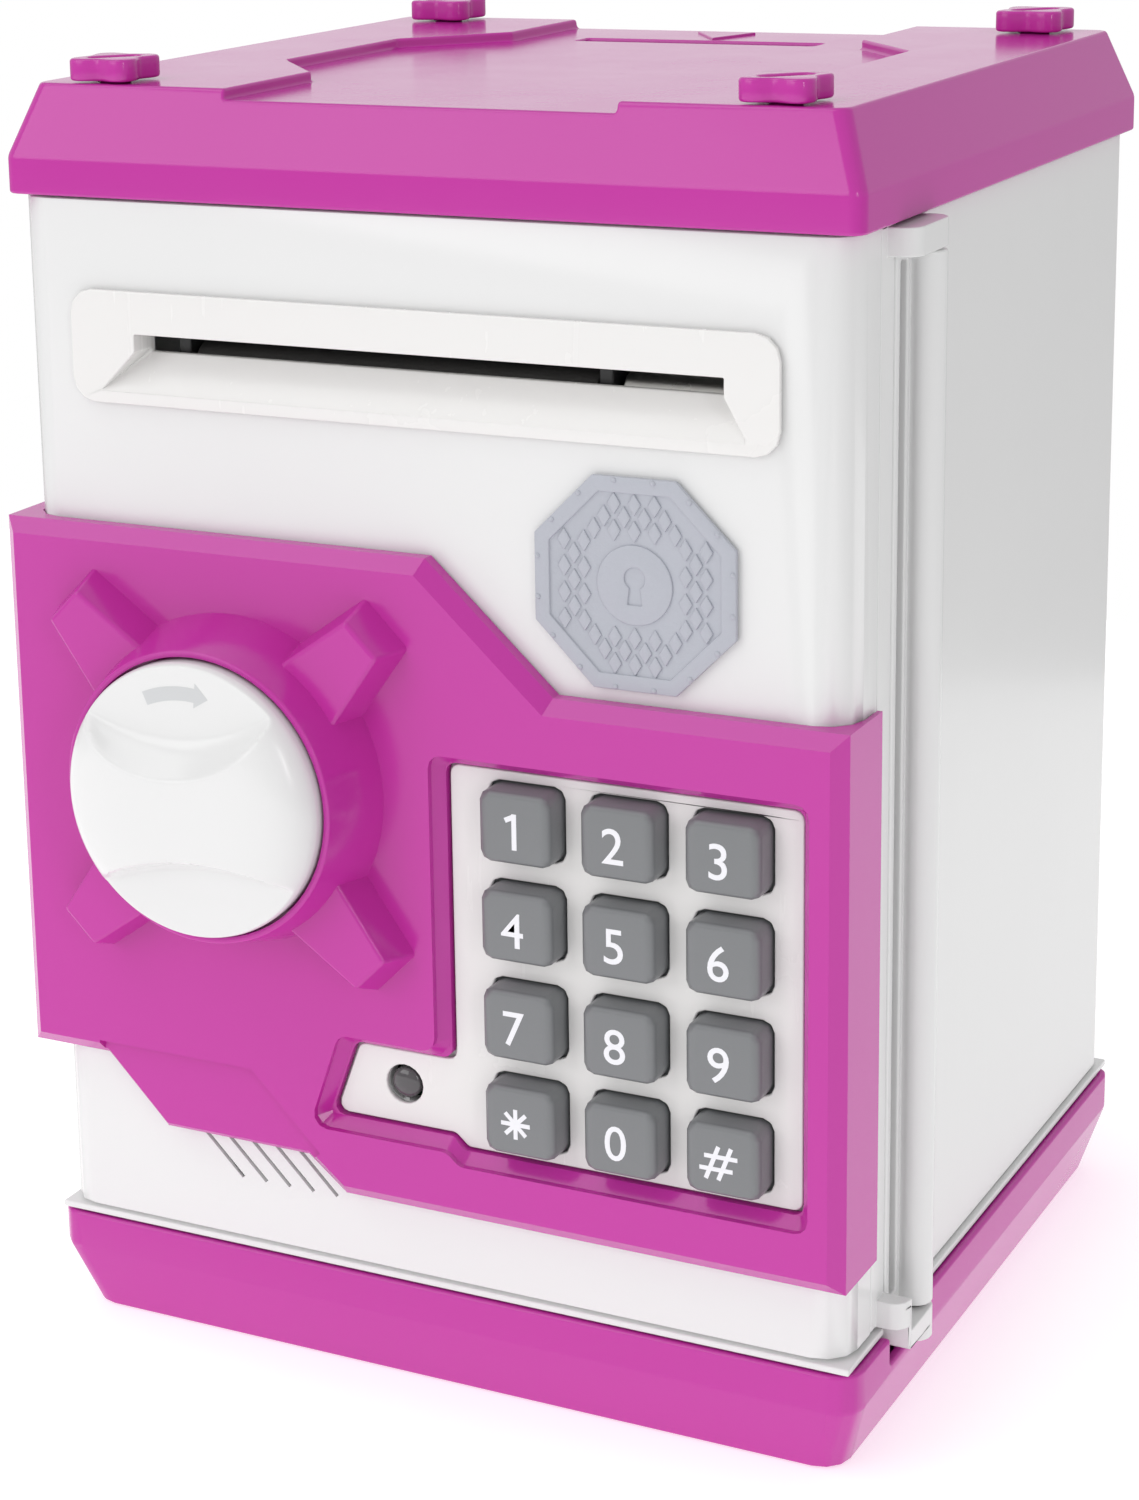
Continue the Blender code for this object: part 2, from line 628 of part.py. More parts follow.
def step_outline():
    """Below this line the panel's lower left part stands one step back."""
    return [(-52.5, STEP_TOP_Z), (-26.6, STEP_TOP_Z), (-15.6, 35.6), (-19.0, 32.2),
            (-19.0, 20.0), (-60.0, 20.0), (-60.0, 44.0), (-52.5, 44.0)]


def plate_outline(grow=0.0):
    """The white keypad plate: the key field and the bay of the indicator light."""
    left, right, low, high = 5.3, 57.0, 39.6, 95.8
    return [(left - grow, high + grow), (right + grow, high + grow), (right + grow, low - grow),
            (left + 1.6, low - grow), (left - 0.4, 41.4 - grow), (-14.2 - grow * 1.6, 41.4 - grow),
            (-10.1 - grow, 52.4 + grow), (left - grow, 52.4 + grow)]


def build_front_panel(pink):
    front = lying_at(1, PANEL_FRONT)
    panel = outline("front_panel", panel_outline(), PANEL_FRONT, PANEL_BACK,
                    edge=PANEL_CHAMFER, edge_at=front)
    cut(panel, outline("panel_step", step_outline(), -80, STEP_FRONT))
    for name, side, span in (("right", 1, PANEL_RIGHT_Z), ("left", -1, PANEL_LEFT_Z)):
        x = sorted((side * 56.0, side * PANEL_SIDE_X[side]))
        wrap = block(f"panel_{name}_wrap", x, (PANEL_FRONT + PANEL_CHAMFER, PANEL_SIDE_END), span)
        corner = block_bmesh((-BODY_HALF_X - GAP, BODY_HALF_X + GAP), (PANEL_BACK, -40), (10, 140))
        round_edges(corner, lambda a, b: along(2)(a, b) and a.y < -50, DOOR_CORNER + GAP)
        cut(wrap, add_mesh(f"door_clearance_{name}", corner))
        join(panel, wrap)
    join(panel, rod("knob_boss", BOSS_RADII[0], (KNOB_X, PANEL_FRONT + 2, KNOB_Z),
                    (KNOB_X, BOSS_FRONT, KNOB_Z), 64, BOSS_RADII[1]))
    for index in range(4):
        bm = block_bmesh((SPOKE_NEAR, SPOKE_REACH), (SPOKE_FRONT, PANEL_FRONT + 2), (-1, 1))
        for vert in bm.verts:
            at_front = vert.co.y < PANEL_FRONT
            at_end = vert.co.x > SPOKE_NEAR + 1
            vert.co.z *= (SPOKE_FACE if at_front else SPOKE_BASE)[at_end]
            if at_front and at_end:
                vert.co.x -= SPOKE_END_SLOPE
        turn = Matrix.Rotation(math.radians(45 + 90 * index), 3, "Y")
        bmesh.ops.rotate(bm, cent=(0, 0, 0), matrix=turn, verts=bm.verts)
        bmesh.ops.translate(bm, vec=(KNOB_X, 0, KNOB_Z), verts=bm.verts)
        join(panel, add_mesh(f"boss_spoke_{index}", bm))
    window = outline("keypad_window", plate_outline(0.35), -70, -50, radius=WINDOW_CORNER)
    flare_end = PLATE_FRONT - 0.5
    flare = outline("window_flare", plate_outline(0.35 + WINDOW_CHAMFER), -66, flare_end,
                    radius=WINDOW_CORNER + 0.5, edge=WINDOW_CHAMFER, edge_at=lying_at(1, flare_end))
    shaft = rod("panel_shaft_hole", SHAFT_HOLE, (KNOB_X, -80, KNOB_Z), (KNOB_X, -50, KNOB_Z), 24)
    well = rod("knob_well", KNOB_WELL, (KNOB_X, -80, KNOB_Z), (KNOB_X, WELL_FLOOR, KNOB_Z), 64)
    cut(panel, window, flare, shaft, well)
    finish(panel, pink)


def build_keypad_plate(white):
    plate = outline("keypad_plate", plate_outline(), PLATE_FRONT, PANEL_BACK, radius=WINDOW_CORNER - 0.2)
    for row, z in enumerate(KEY_ROWS):
        for column, x in enumerate(KEY_COLUMNS):
            half_x = KEY_SIZE[0] / 2 + KEY_CLEAR
            half_z = KEY_SIZE[1] / 2 + KEY_CLEAR
            cut(plate, block(f"key_hole_{row}_{column}", (x - half_x, x + half_x), (-70, -50),
                             (z - half_z, z + half_z), 1.6, along(1), 2))
    cut(plate, rod("plate_led_hole", LED_RADIUS + 0.4, (LED_X, -70, LED_Z), (LED_X, -50, LED_Z), 20))
    finish(plate, white)


def key_mesh():
    """One key, about its own centre: a rounded cap on a wider foot that the plate keeps in."""
    half_x, half_z = KEY_SIZE[0] / 2, KEY_SIZE[1] / 2
    bm = block_bmesh((-half_x, half_x), (0, KEY_STEP - KEY_FRONT), (-half_z, half_z))
    round_edges(bm, along(1), 1.5, 2)
    round_edges(bm, lying_at(1, 0.0), 0.7, 1)
    bm.normal_update()
    back = [face for face in bm.faces if face.normal.y > 0.9]
    flange = grow_end(bm, back, (0, 0, 0), (1 + KEY_FLANGE / half_x, 1, 1 + KEY_FLANGE / half_z))
    grow_end(bm, flange, (0, KEY_END - KEY_STEP, 0), (1, 1, 1))
    return bm


def build_keys(grey):
    first = finish(add_mesh("key_1", key_mesh()), grey)
    for row, z in enumerate(KEY_ROWS):
        for column, x in enumerate(KEY_COLUMNS):
            name = f"key_{KEY_NAMES[row][column]}"
            key = first if name == "key_1" else bpy.data.objects.new(name, first.data)
            if key is not first:
                PARTS.objects.link(key)
            key.location = Vector((x, KEY_FRONT, z)) * MM


def build_plaque(silver):
    """A plain eight-sided shield plate on the door, with a raised rim left to the finish."""
    points = [(PLAQUE_X + PLAQUE_RADIUS * math.cos(math.radians(22.5 + 45 * n)),
               PLAQUE_Z + PLAQUE_RADIUS * math.sin(math.radians(22.5 + 45 * n))) for n in range(8)]
    plaque = outline("door_plaque", points, -60.1, PANEL_BACK, radius=3.0)
    finish(plaque, silver)


def build_indicator(smoke):
    profile = [(0.0, 6.2), (1.3, 5.8), (2.2, 4.8), (LED_RADIUS, 3.8), (LED_RADIUS, 0.6), (2.9, 0.6),
               (2.9, 0.0), (0.0, 0.0)]
    finish(turned("indicator_led", profile, (LED_X, -54.6, LED_Z), (0, -1, 0), 20), smoke)


def build_electronics(green, black, rubber):
    board = block("circuit_board", BOARD_X, BOARD_Y, BOARD_Z)
    finish(board, green)
    mat = block("key_mat", (KEY_COLUMNS[0] - 8.5, KEY_COLUMNS[2] + 8.5), MAT_Y,
                (KEY_ROWS[3] - 7.5, KEY_ROWS[0] + 7.5))
    finish(mat, rubber)
    profile = [(0.0, 5.4), (SPEAKER_RADIUS, 5.4), (SPEAKER_RADIUS, 3.8), (6.5, 1.8), (6.5, 0.0), (0.0, 0.0)]
    finish(turned("speaker", profile, (SPEAKER_X, -51.0, SPEAKER_Z), (0, -1, 0)), black)


def build_battery_box(white, cell, steel):
    x, z = BATTERY_BOX_X, BATTERY_BOX_Z
    box = open_box("battery_box", x, (DOOR_REAR + GAP, BATTERY_BOX_END), z, ((0, 1, 0),), BATTERY_WALL)
    finish(box, white)
    cover = block("battery_cover", x, (BATTERY_BOX_END + GAP, BATTERY_BOX_END + 1.8), z, 0.6)
    screw_z = z[1] - 3.2
    cut(cover, rod("cover_screw_hole", 1.6, (14, -40, screw_z), (14, -20, screw_z), 16))
    finish(cover, white)
    screw_place("battery_cover_screw", 14, BATTERY_BOX_END + 1.8 + GAP, screw_z, (0, 1, 0), 2.2, steel, 1.2)
    nub = 1.2
    length = CELL_X[1] - CELL_X[0] - nub
    profile = [(0.0, length + nub), (2.6, length + nub), (2.6, length), (CELL_RADIUS - 0.6, length),
               (CELL_RADIUS, length - 0.6), (CELL_RADIUS, 0.0), (0.0, 0.0)]
    for index, cell_z in enumerate(CELL_Z):
        flip = index % 2 == 1
        start = CELL_X[1] if flip else CELL_X[0]
        along_x = (-1 if flip else 1, 0, 0)
        finish(turned(f"battery_{index + 1}", profile, (start, CELL_Y, cell_z), along_x, 24), cell)
    for name, low in (("left", x[0] + BATTERY_WALL + GAP), ("right", x[1] - BATTERY_WALL - GAP - 0.4)):
        plate = block(f"contact_plate_{name}", (low, low + 0.4), (-41.0, -29.0), (z[0] + 2.5, z[1] - 2.5))
        finish(plate, steel)


def build_bill_feed(black, white, rubber):
    low, high = ROLLER_X
    profile = [(0.0, high + 3.3), (AXLE_RADIUS, high + 3.3), (AXLE_RADIUS, high), (FEED_RADIUS, high),
               (FEED_RADIUS, low), (AXLE_RADIUS, low), (AXLE_RADIUS, low - 3.3), (0.0, low - 3.3)]
    finish(turned("feed_roller", profile, (0, FEED_Y, FEED_Z), (1, 0, 0), 24), rubber)
    profile = [(min(radius, IDLER_RADIUS), height) for radius, height in profile]
    finish(turned("idler_roller", profile, (0, FEED_Y, IDLER_Z), (1, 0, 0), 24), white)
    for name, x in (("left", low - 0.5 - BRACKET_THICK), ("right", high + 0.5)):
        bracket = block(f"roller_bracket_{name}", (x, x + BRACKET_THICK), (-54.0, -46.4), (142.5, 158.5))
        for index, z in enumerate((FEED_Z, IDLER_Z)):
            cut(bracket, rod(f"{name}_axle_hole_{index}", AXLE_RADIUS + GAP, (x - 3, FEED_Y, z),
                             (x + 5, FEED_Y, z), 16))
        finish(bracket, white)
    finish(rod("feed_motor", MOTOR_RADIUS, (MOTOR_X[0], FEED_Y, FEED_Z), (MOTOR_X[1], FEED_Y, FEED_Z), 24),
           black)


def build_knob(white):
    """A domed disc with a crescent scooped out above and below, which leaves a waisted grip."""
    high = KNOB_HEIGHT
    stem = KNOB_BACK - DOOR_REAR
    profile = [(0.0, high), (7.0, high - 0.1), (12.5, high - 0.4), (16.5, high - 1.6), (18.9, high - 3.4),
               (KNOB_RADIUS, 3.4), (KNOB_RADIUS, 0.0), (SHAFT_RADIUS, 0.0), (SHAFT_RADIUS, stem), (0.0, stem)]
    knob = turned("knob", profile, (KNOB_X, KNOB_BACK, KNOB_Z), (0, -1, 0), 48)
    for name, side in (("upper", 1), ("lower", -1)):
        z = KNOB_Z + side * SCOOP_OFFSET
        cut(knob, rod(f"{name}_scoop", SCOOP_RADIUS, (KNOB_X, -90, z), (KNOB_X, SCOOP_FLOOR, z), 48))
    finish(knob, white)


def build_latch(white, steel):
    """The crank disc on the knob's shaft, the bolt that its pin drives, and their housing."""
    axis_x, axis_z = KNOB_X, KNOB_Z
    pin_x = axis_x + CRANK * math.sin(CRANK_HALF_TURN)
    pin_z = axis_z - CRANK * math.cos(CRANK_HALF_TURN)
    cam = rod("knob_cam", CAM_RADIUS, (axis_x, CAM_Y[0], axis_z), (axis_x, CAM_Y[1], axis_z), 32)
    join(cam, rod("crank_pin", PIN_RADIUS, (pin_x, CAM_Y[1] - 1, pin_z), (pin_x, BOLT_Y[1] - 0.1, pin_z), 16))
    set_origin(cam, (axis_x, CAM_Y[0], axis_z))
    finish(cam, white)
    bolt = block("latch_bolt", (BOLT_TIP, BOLT_END_X), BOLT_Y, BOLT_Z)
    half = PIN_RADIUS + 0.3
    slot = block("crank_slot", (pin_x - half, pin_x + half), (-50, -30),
                 (axis_z - CRANK - half, pin_z + half))
    cut(bolt, slot)
    set_origin(bolt, (BOLT_TIP, (BOLT_Y[0] + BOLT_Y[1]) / 2, (BOLT_Z[0] + BOLT_Z[1]) / 2))
    finish(bolt, steel)
    housing = open_box("latch_housing", HOUSING_X, (DOOR_REAR + GAP, HOUSING_END), HOUSING_Z,
                       ((0, -1, 0), (-1, 0, 0)), 1.5)
    finish(housing, white)


def build_door_screws(steel):
    for index, (x, z) in enumerate(DOOR_SCREWS):
        screw_place(f"door_screw_{index + 1}", x, DOOR_REAR + GAP, z, (0, 1, 0), 9.0, steel, 1.6)


def build_all():
    pink = material("pink_gloss_plastic", PINK, 0.22)
    white = material("white_gloss_plastic", WHITE, 0.3)
    grey = material("grey_key_plastic", KEY_GREY, 0.5)
    silver = material("silver_grey_plastic", (0.48, 0.5, 0.56), 0.4)
    smoke = material("smoked_lens", (0.1, 0.1, 0.11), 0.15)
    green = material("green_board", (0.03, 0.18, 0.07), 0.5)
    black = material("black_plastic", (0.02, 0.02, 0.02), 0.4)
    rubber = material("dark_rubber", (0.04, 0.04, 0.04), 0.8)
    cell = material("battery_sleeve", (0.05, 0.12, 0.3), 0.3)
    steel = material("steel", (0.6, 0.6, 0.6), 0.3, 1.0)
    build_base(pink, white, steel)
    build_body_shell(white)
    build_cap(pink)
    build_corner_bolts(pink)
    build_hinge_rod(steel)
    build_keeper(white)
    build_door_front(white)
    build_door_back(white)
    build_bezel(white)
    build_front_panel(pink)
    build_keypad_plate(white)
    build_keys(grey)
    build_plaque(silver)
    build_indicator(smoke)
    build_electronics(green, black, rubber)
    build_battery_box(white, cell, steel)
    build_bill_feed(black, white, rubber)
    build_knob(white)
    build_latch(white, steel)
    build_door_screws(steel)


clear_scene()
PARTS = new_collection("toy_safe_coin_bank")
CUTTERS = new_collection("cutters")
build_all()
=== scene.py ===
import json
import math

import bmesh
import bpy
from mathutils import Matrix, Vector


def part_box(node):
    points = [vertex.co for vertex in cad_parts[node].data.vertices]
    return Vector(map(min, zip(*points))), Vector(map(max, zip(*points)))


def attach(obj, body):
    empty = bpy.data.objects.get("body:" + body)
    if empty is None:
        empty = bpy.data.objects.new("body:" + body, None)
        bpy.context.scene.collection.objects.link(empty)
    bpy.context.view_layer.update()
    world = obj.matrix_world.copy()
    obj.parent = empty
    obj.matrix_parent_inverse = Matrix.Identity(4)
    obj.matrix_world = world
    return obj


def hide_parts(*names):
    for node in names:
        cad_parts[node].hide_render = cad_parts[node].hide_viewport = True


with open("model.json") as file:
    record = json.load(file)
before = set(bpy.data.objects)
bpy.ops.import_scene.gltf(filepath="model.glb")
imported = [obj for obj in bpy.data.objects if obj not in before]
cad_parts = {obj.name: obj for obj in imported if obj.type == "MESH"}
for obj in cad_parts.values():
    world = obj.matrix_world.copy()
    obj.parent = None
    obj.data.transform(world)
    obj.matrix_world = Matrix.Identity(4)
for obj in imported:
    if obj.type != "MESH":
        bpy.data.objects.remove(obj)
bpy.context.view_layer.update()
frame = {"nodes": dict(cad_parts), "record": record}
mm = 0.001
print("frame loaded:", len(frame["nodes"]), "nodes")


# small helpers for nodes

def addNode(tree, kind, **settings):
    node = tree.nodes.new(kind)
    for name, value in settings.items():
        setattr(node, name, value)
    return node


def wire(tree, source, target):
    tree.links.new(source, target)


def newGroup(name, kind, inputs, outputs):
    group = bpy.data.node_groups.new(name, kind)
    for label, socket, value in inputs:
        made = group.interface.new_socket(label, in_out="INPUT", socket_type=socket)
        if value is not None:
            made.default_value = value
    for label, socket in outputs:
        group.interface.new_socket(label, in_out="OUTPUT", socket_type=socket)
    return group, group.nodes.new("NodeGroupInput"), group.nodes.new("NodeGroupOutput")


def mathStep(tree, operation, first, second):
    step = addNode(tree, "ShaderNodeMath", operation=operation)
    for socket, value in zip(step.inputs, (first, second)):
        if isinstance(value, (int, float)):
            socket.default_value = value
        else:
            wire(tree, value, socket)
    return step.outputs[0]


# shared effects

skinStyle = {
    "driftScale": 22.0,
    "driftDetail": 3.0,
    "scuffStretch": (160.0, 160.0, 14.0),
    "scuffTurn": (0.5, 0.9, 0.3),
    "scuffScale": 4.0,
    "scuffDetail": 6.0,
    "scuffFrom": 0.62,
    "scuffTo": 0.72,
    "smudgeScale": 60.0,
    "smudgeDetail": 5.0,
    "grainDetail": 2.0,
    "grainDepth": 0.0002,
    "coatRoughness": 0.08,
}


def makeMouldedSkin():
    # slow tint drift, fine mould grain and a few hairline scuffs, shared by every plastic
    style = skinStyle
    group, inside, outside = newGroup("mouldedSkin", "ShaderNodeTree", [
        ("Color", "NodeSocketColor", (0.8, 0.8, 0.8, 1.0)),
        ("Tint Drift", "NodeSocketFloat", 0.04),
        ("Roughness", "NodeSocketFloat", 0.25),
        ("Roughness Drift", "NodeSocketFloat", 0.06),
        ("Grain Scale", "NodeSocketFloat", 2200.0),
        ("Grain Height", "NodeSocketFloat", 0.02),
        ("Scuffs", "NodeSocketFloat", 0.1),
    ], [("Color", "NodeSocketColor"), ("Roughness", "NodeSocketFloat"), ("Normal", "NodeSocketVector")])
    place = addNode(group, "ShaderNodeTexCoord").outputs["Object"]
    drift = addNode(group, "ShaderNodeTexNoise")
    drift.inputs["Scale"].default_value = style["driftScale"]
    drift.inputs["Detail"].default_value = style["driftDetail"]
    wire(group, place, drift.inputs["Vector"])
    centred = mathStep(group, "SUBTRACT", drift.outputs["Fac"], 0.5)
    value = mathStep(group, "MULTIPLY_ADD", centred, inside.outputs["Tint Drift"])
    value.node.inputs[2].default_value = 1.0
    shade = addNode(group, "ShaderNodeHueSaturation")
    wire(group, inside.outputs["Color"], shade.inputs["Color"])
    wire(group, value, shade.inputs["Value"])
    wire(group, shade.outputs["Color"], outside.inputs["Color"])
    # hairline scuffs are a stretched noise, kept only where it is highest
    stretch = addNode(group, "ShaderNodeMapping")
    stretch.inputs["Scale"].default_value = style["scuffStretch"]
    stretch.inputs["Rotation"].default_value = style["scuffTurn"]
    wire(group, place, stretch.inputs["Vector"])
    lines = addNode(group, "ShaderNodeTexNoise")
    lines.inputs["Scale"].default_value = style["scuffScale"]
    lines.inputs["Detail"].default_value = style["scuffDetail"]
    wire(group, stretch.outputs["Vector"], lines.inputs["Vector"])
    keep = addNode(group, "ShaderNodeMapRange")
    keep.inputs["From Min"].default_value = style["scuffFrom"]
    keep.inputs["From Max"].default_value = style["scuffTo"]
    wire(group, lines.outputs["Fac"], keep.inputs["Value"])
    scuff = mathStep(group, "MULTIPLY", keep.outputs["Result"], inside.outputs["Scuffs"])
    smudge = addNode(group, "ShaderNodeTexNoise")
    smudge.inputs["Scale"].default_value = style["smudgeScale"]
    smudge.inputs["Detail"].default_value = style["smudgeDetail"]
    wire(group, place, smudge.inputs["Vector"])
    smudgeMid = mathStep(group, "SUBTRACT", smudge.outputs["Fac"], 0.5)
    wobble = mathStep(group, "MULTIPLY", smudgeMid, inside.outputs["Roughness Drift"])
    rough = mathStep(group, "ADD", inside.outputs["Roughness"], wobble)
    wire(group, mathStep(group, "ADD", rough, scuff), outside.inputs["Roughness"])
    grain = addNode(group, "ShaderNodeTexNoise")
    grain.inputs["Detail"].default_value = style["grainDetail"]
    wire(group, place, grain.inputs["Vector"])
    wire(group, inside.outputs["Grain Scale"], grain.inputs["Scale"])
    bump = addNode(group, "ShaderNodeBump")
    bump.inputs["Distance"].default_value = style["grainDepth"]
    wire(group, inside.outputs["Grain Height"], bump.inputs["Strength"])
    wire(group, grain.outputs["Fac"], bump.inputs["Height"])
    wire(group, bump.outputs["Normal"], outside.inputs["Normal"])
    return group


mouldedSkin = makeMouldedSkin()


def plastic(name, color, roughness, drift=0.04, grain=0.02, grainScale=2200.0, scuffs=0.02, coat=0.0,
            roughDrift=0.08):
    made = bpy.data.materials.new(name)
    made.use_nodes = True
    tree = made.node_tree
    shader = tree.nodes["Principled BSDF"]
    skin = addNode(tree, "ShaderNodeGroup", node_tree=mouldedSkin)
    values = {"Color": (*color, 1.0), "Tint Drift": drift, "Roughness": roughness,
              "Roughness Drift": roughDrift, "Grain Scale": grainScale, "Grain Height": grain,
              "Scuffs": scuffs}
    for label, value in values.items():
        skin.inputs[label].default_value = value
    wire(tree, skin.outputs["Color"], shader.inputs["Base Color"])
    wire(tree, skin.outputs["Roughness"], shader.inputs["Roughness"])
    wire(tree, skin.outputs["Normal"], shader.inputs["Normal"])
    shader.inputs["Coat Weight"].default_value = coat
    shader.inputs["Coat Roughness"].default_value = skinStyle["coatRoughness"]
    return made


def metal(name, color, roughness, stretch):
    # drawn or brushed metal: the same skin under a fully metallic shader
    made = plastic(name, color, roughness, drift=0.12, grain=0.1, grainScale=stretch, scuffs=0.1,
                   roughDrift=0.25)
    made.node_tree.nodes["Principled BSDF"].inputs["Metallic"].default_value = 1.0
    return made


finishes = {
    "pink": plastic("pinkPlastic", (0.535, 0.03, 0.35), 0.17, drift=0.05),
    "white": plastic("whitePlastic", (0.80, 0.80, 0.80), 0.24, drift=0.02, coat=0.15),
    "warmWhite": plastic("warmWhitePlastic", (0.83, 0.82, 0.81), 0.26, drift=0.02, coat=0.1),
    "innerWhite": plastic("innerWhitePlastic", (0.74, 0.74, 0.73), 0.42, grain=0.08, scuffs=0.15),
    "keyGrey": plastic("keyGreyPlastic", (0.205, 0.212, 0.22), 0.46, drift=0.06, grain=0.16,
                       grainScale=3200.0),
    "ink": plastic("legendInk", (0.86, 0.86, 0.9), 0.5, drift=0.03, grain=0.05),
    "printGrey": plastic("printGrey", (0.62, 0.63, 0.64), 0.45, drift=0.05, grain=0.05),
    "silver": plastic("silverGreyPlastic", (0.46, 0.475, 0.53), 0.38, drift=0.08, grain=0.3,
                      grainScale=1500.0),
    "lens": plastic("smokedLens", (0.07, 0.065, 0.07), 0.1, drift=0.05, grain=0.0, coat=0.6),
    "black": plastic("blackPlastic", (0.02, 0.02, 0.021), 0.4, drift=0.1, grain=0.15),
    "rubber": plastic("darkRubber", (0.035, 0.034, 0.033), 0.7, drift=0.1, grain=0.4, grainScale=1800.0),
    "board": plastic("solderMask", (0.012, 0.11, 0.045), 0.3, drift=0.2, grain=0.2, coat=0.3),
    "cell": plastic("cellSleeve", (0.1, 0.11, 0.13), 0.3, drift=0.1, coat=0.3),
    "steel": metal("zincSteel", (0.62, 0.62, 0.6), 0.28, 900.0),
}


# pieces made from the frame's own solids

def bake(obj, name):
    # the evaluated mesh as a plain object of its own; the source is removed
    graph = bpy.context.evaluated_depsgraph_get()
    bpy.context.view_layer.update()
    mesh = bpy.data.meshes.new_from_object(obj.evaluated_get(graph), preserve_all_data_layers=True,
                                           depsgraph=graph)
    mesh.transform(obj.matrix_world)
    made = bpy.data.objects.new(name, mesh)
    bpy.context.scene.collection.objects.link(made)
    bpy.data.objects.remove(obj, do_unlink=True)
    mesh.name = name
    return made


def fromBmesh(name, bm, scale=mm):
    if scale != 1.0:
        bmesh.ops.scale(bm, vec=(scale, scale, scale), verts=bm.verts)
    mesh = bpy.data.meshes.new(name)
    bm.to_mesh(mesh)
    bm.free()
    made = bpy.data.objects.new(name, mesh)
    bpy.context.scene.collection.objects.link(made)
    return made


def setFinish(obj, finish):
    obj.data.materials.clear()
    obj.data.materials.append(finishes[finish])
    for face in obj.data.polygons:
        face.material_index = 0
    return obj


def place(obj, finish, body, slot, replaced=()):
    # the last step of every piece: its finish, the body it moves with and the nodes it stands for
    setFinish(obj, finish)
    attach(obj, body)
    if replaced:
        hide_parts(*replaced)
    return obj


def roundEdges(obj, radius, angle=30.0, segments=3, clamp=False):
    bevel = obj.modifiers.new("roundedEdges", "BEVEL")
    bevel.width = radius * mm
    bevel.segments = segments
    bevel.limit_method = "ANGLE"
    bevel.angle_limit = math.radians(angle)
    bevel.miter_outer = "MITER_ARC"
    bevel.use_clamp_overlap = clamp
    bevel.loop_slide = False
    return evenShading(obj)


def shadeCurves(obj, angle):
    # smooth over gentle bends, sharp over the rest
    obj.data.shade_smooth()
    obj.data.set_sharp_from_angle(angle=math.radians(angle))


def evenShading(obj):
    even = obj.modifiers.new("evenShading", "WEIGHTED_NORMAL")
    even.weight = 80
    even.keep_sharp = True
    return obj


seamGap = 2e-6
flatAngle = math.radians(0.5)


def mergedSolid(node):
    bm = bmesh.new()
    bm.from_mesh(frame["nodes"][node].data)
    bmesh.ops.remove_doubles(bm, verts=bm.verts, dist=seamGap)
    return bm


def solidFrom(node, split=True):
    # a frame node's solid as an editable mesh: flat faces joined, then cut into plain ones
    bm = mergedSolid(node)
    bmesh.ops.dissolve_limit(bm, angle_limit=flatAngle, verts=bm.verts, edges=bm.edges)
    if split:
        manySided = [face for face in bm.faces if len(face.verts) > 4]
        bmesh.ops.triangulate(bm, faces=manySided, ngon_method="BEAUTY")
    made = fromBmesh(node + "Work", bm, 1.0)
    made.data.shade_smooth()
    return made


def smoothed(node, name, angle=35.0):
    # a frame node as it is, with its curved walls shaded smooth
    made = fromBmesh(name + "Work", mergedSolid(node), 1.0)
    shadeCurves(made, angle)
    return bake(evenShading(made), name)


def moulded(node, name, radius, angle=30.0, clamp=False):
    # a frame node with the small rounded edges of a moulded part
    if radius == 0:
        return smoothed(node, name)
    return bake(roundEdges(solidFrom(node, not clamp), radius, angle, clamp=clamp), name)


def removeAll(objects):
    for obj in objects:
        bpy.data.objects.remove(obj, do_unlink=True)


def joined(name, objects):
    # several plain objects as one, the sources removed
    bm = bmesh.new()
    for obj in objects:
        bm.from_mesh(obj.data)
    removeAll(objects)
    return fromBmesh(name, bm, 1.0)


# where each node rides, and the material slot that the record lists for it
bodyOf = {node: body for body, nodes in frame["record"]["behaviour"]["bodies"].items() for node in nodes}
slotOf = {entry["node"]: entry["material_slot"] for entry in frame["record"]["subparts"]}

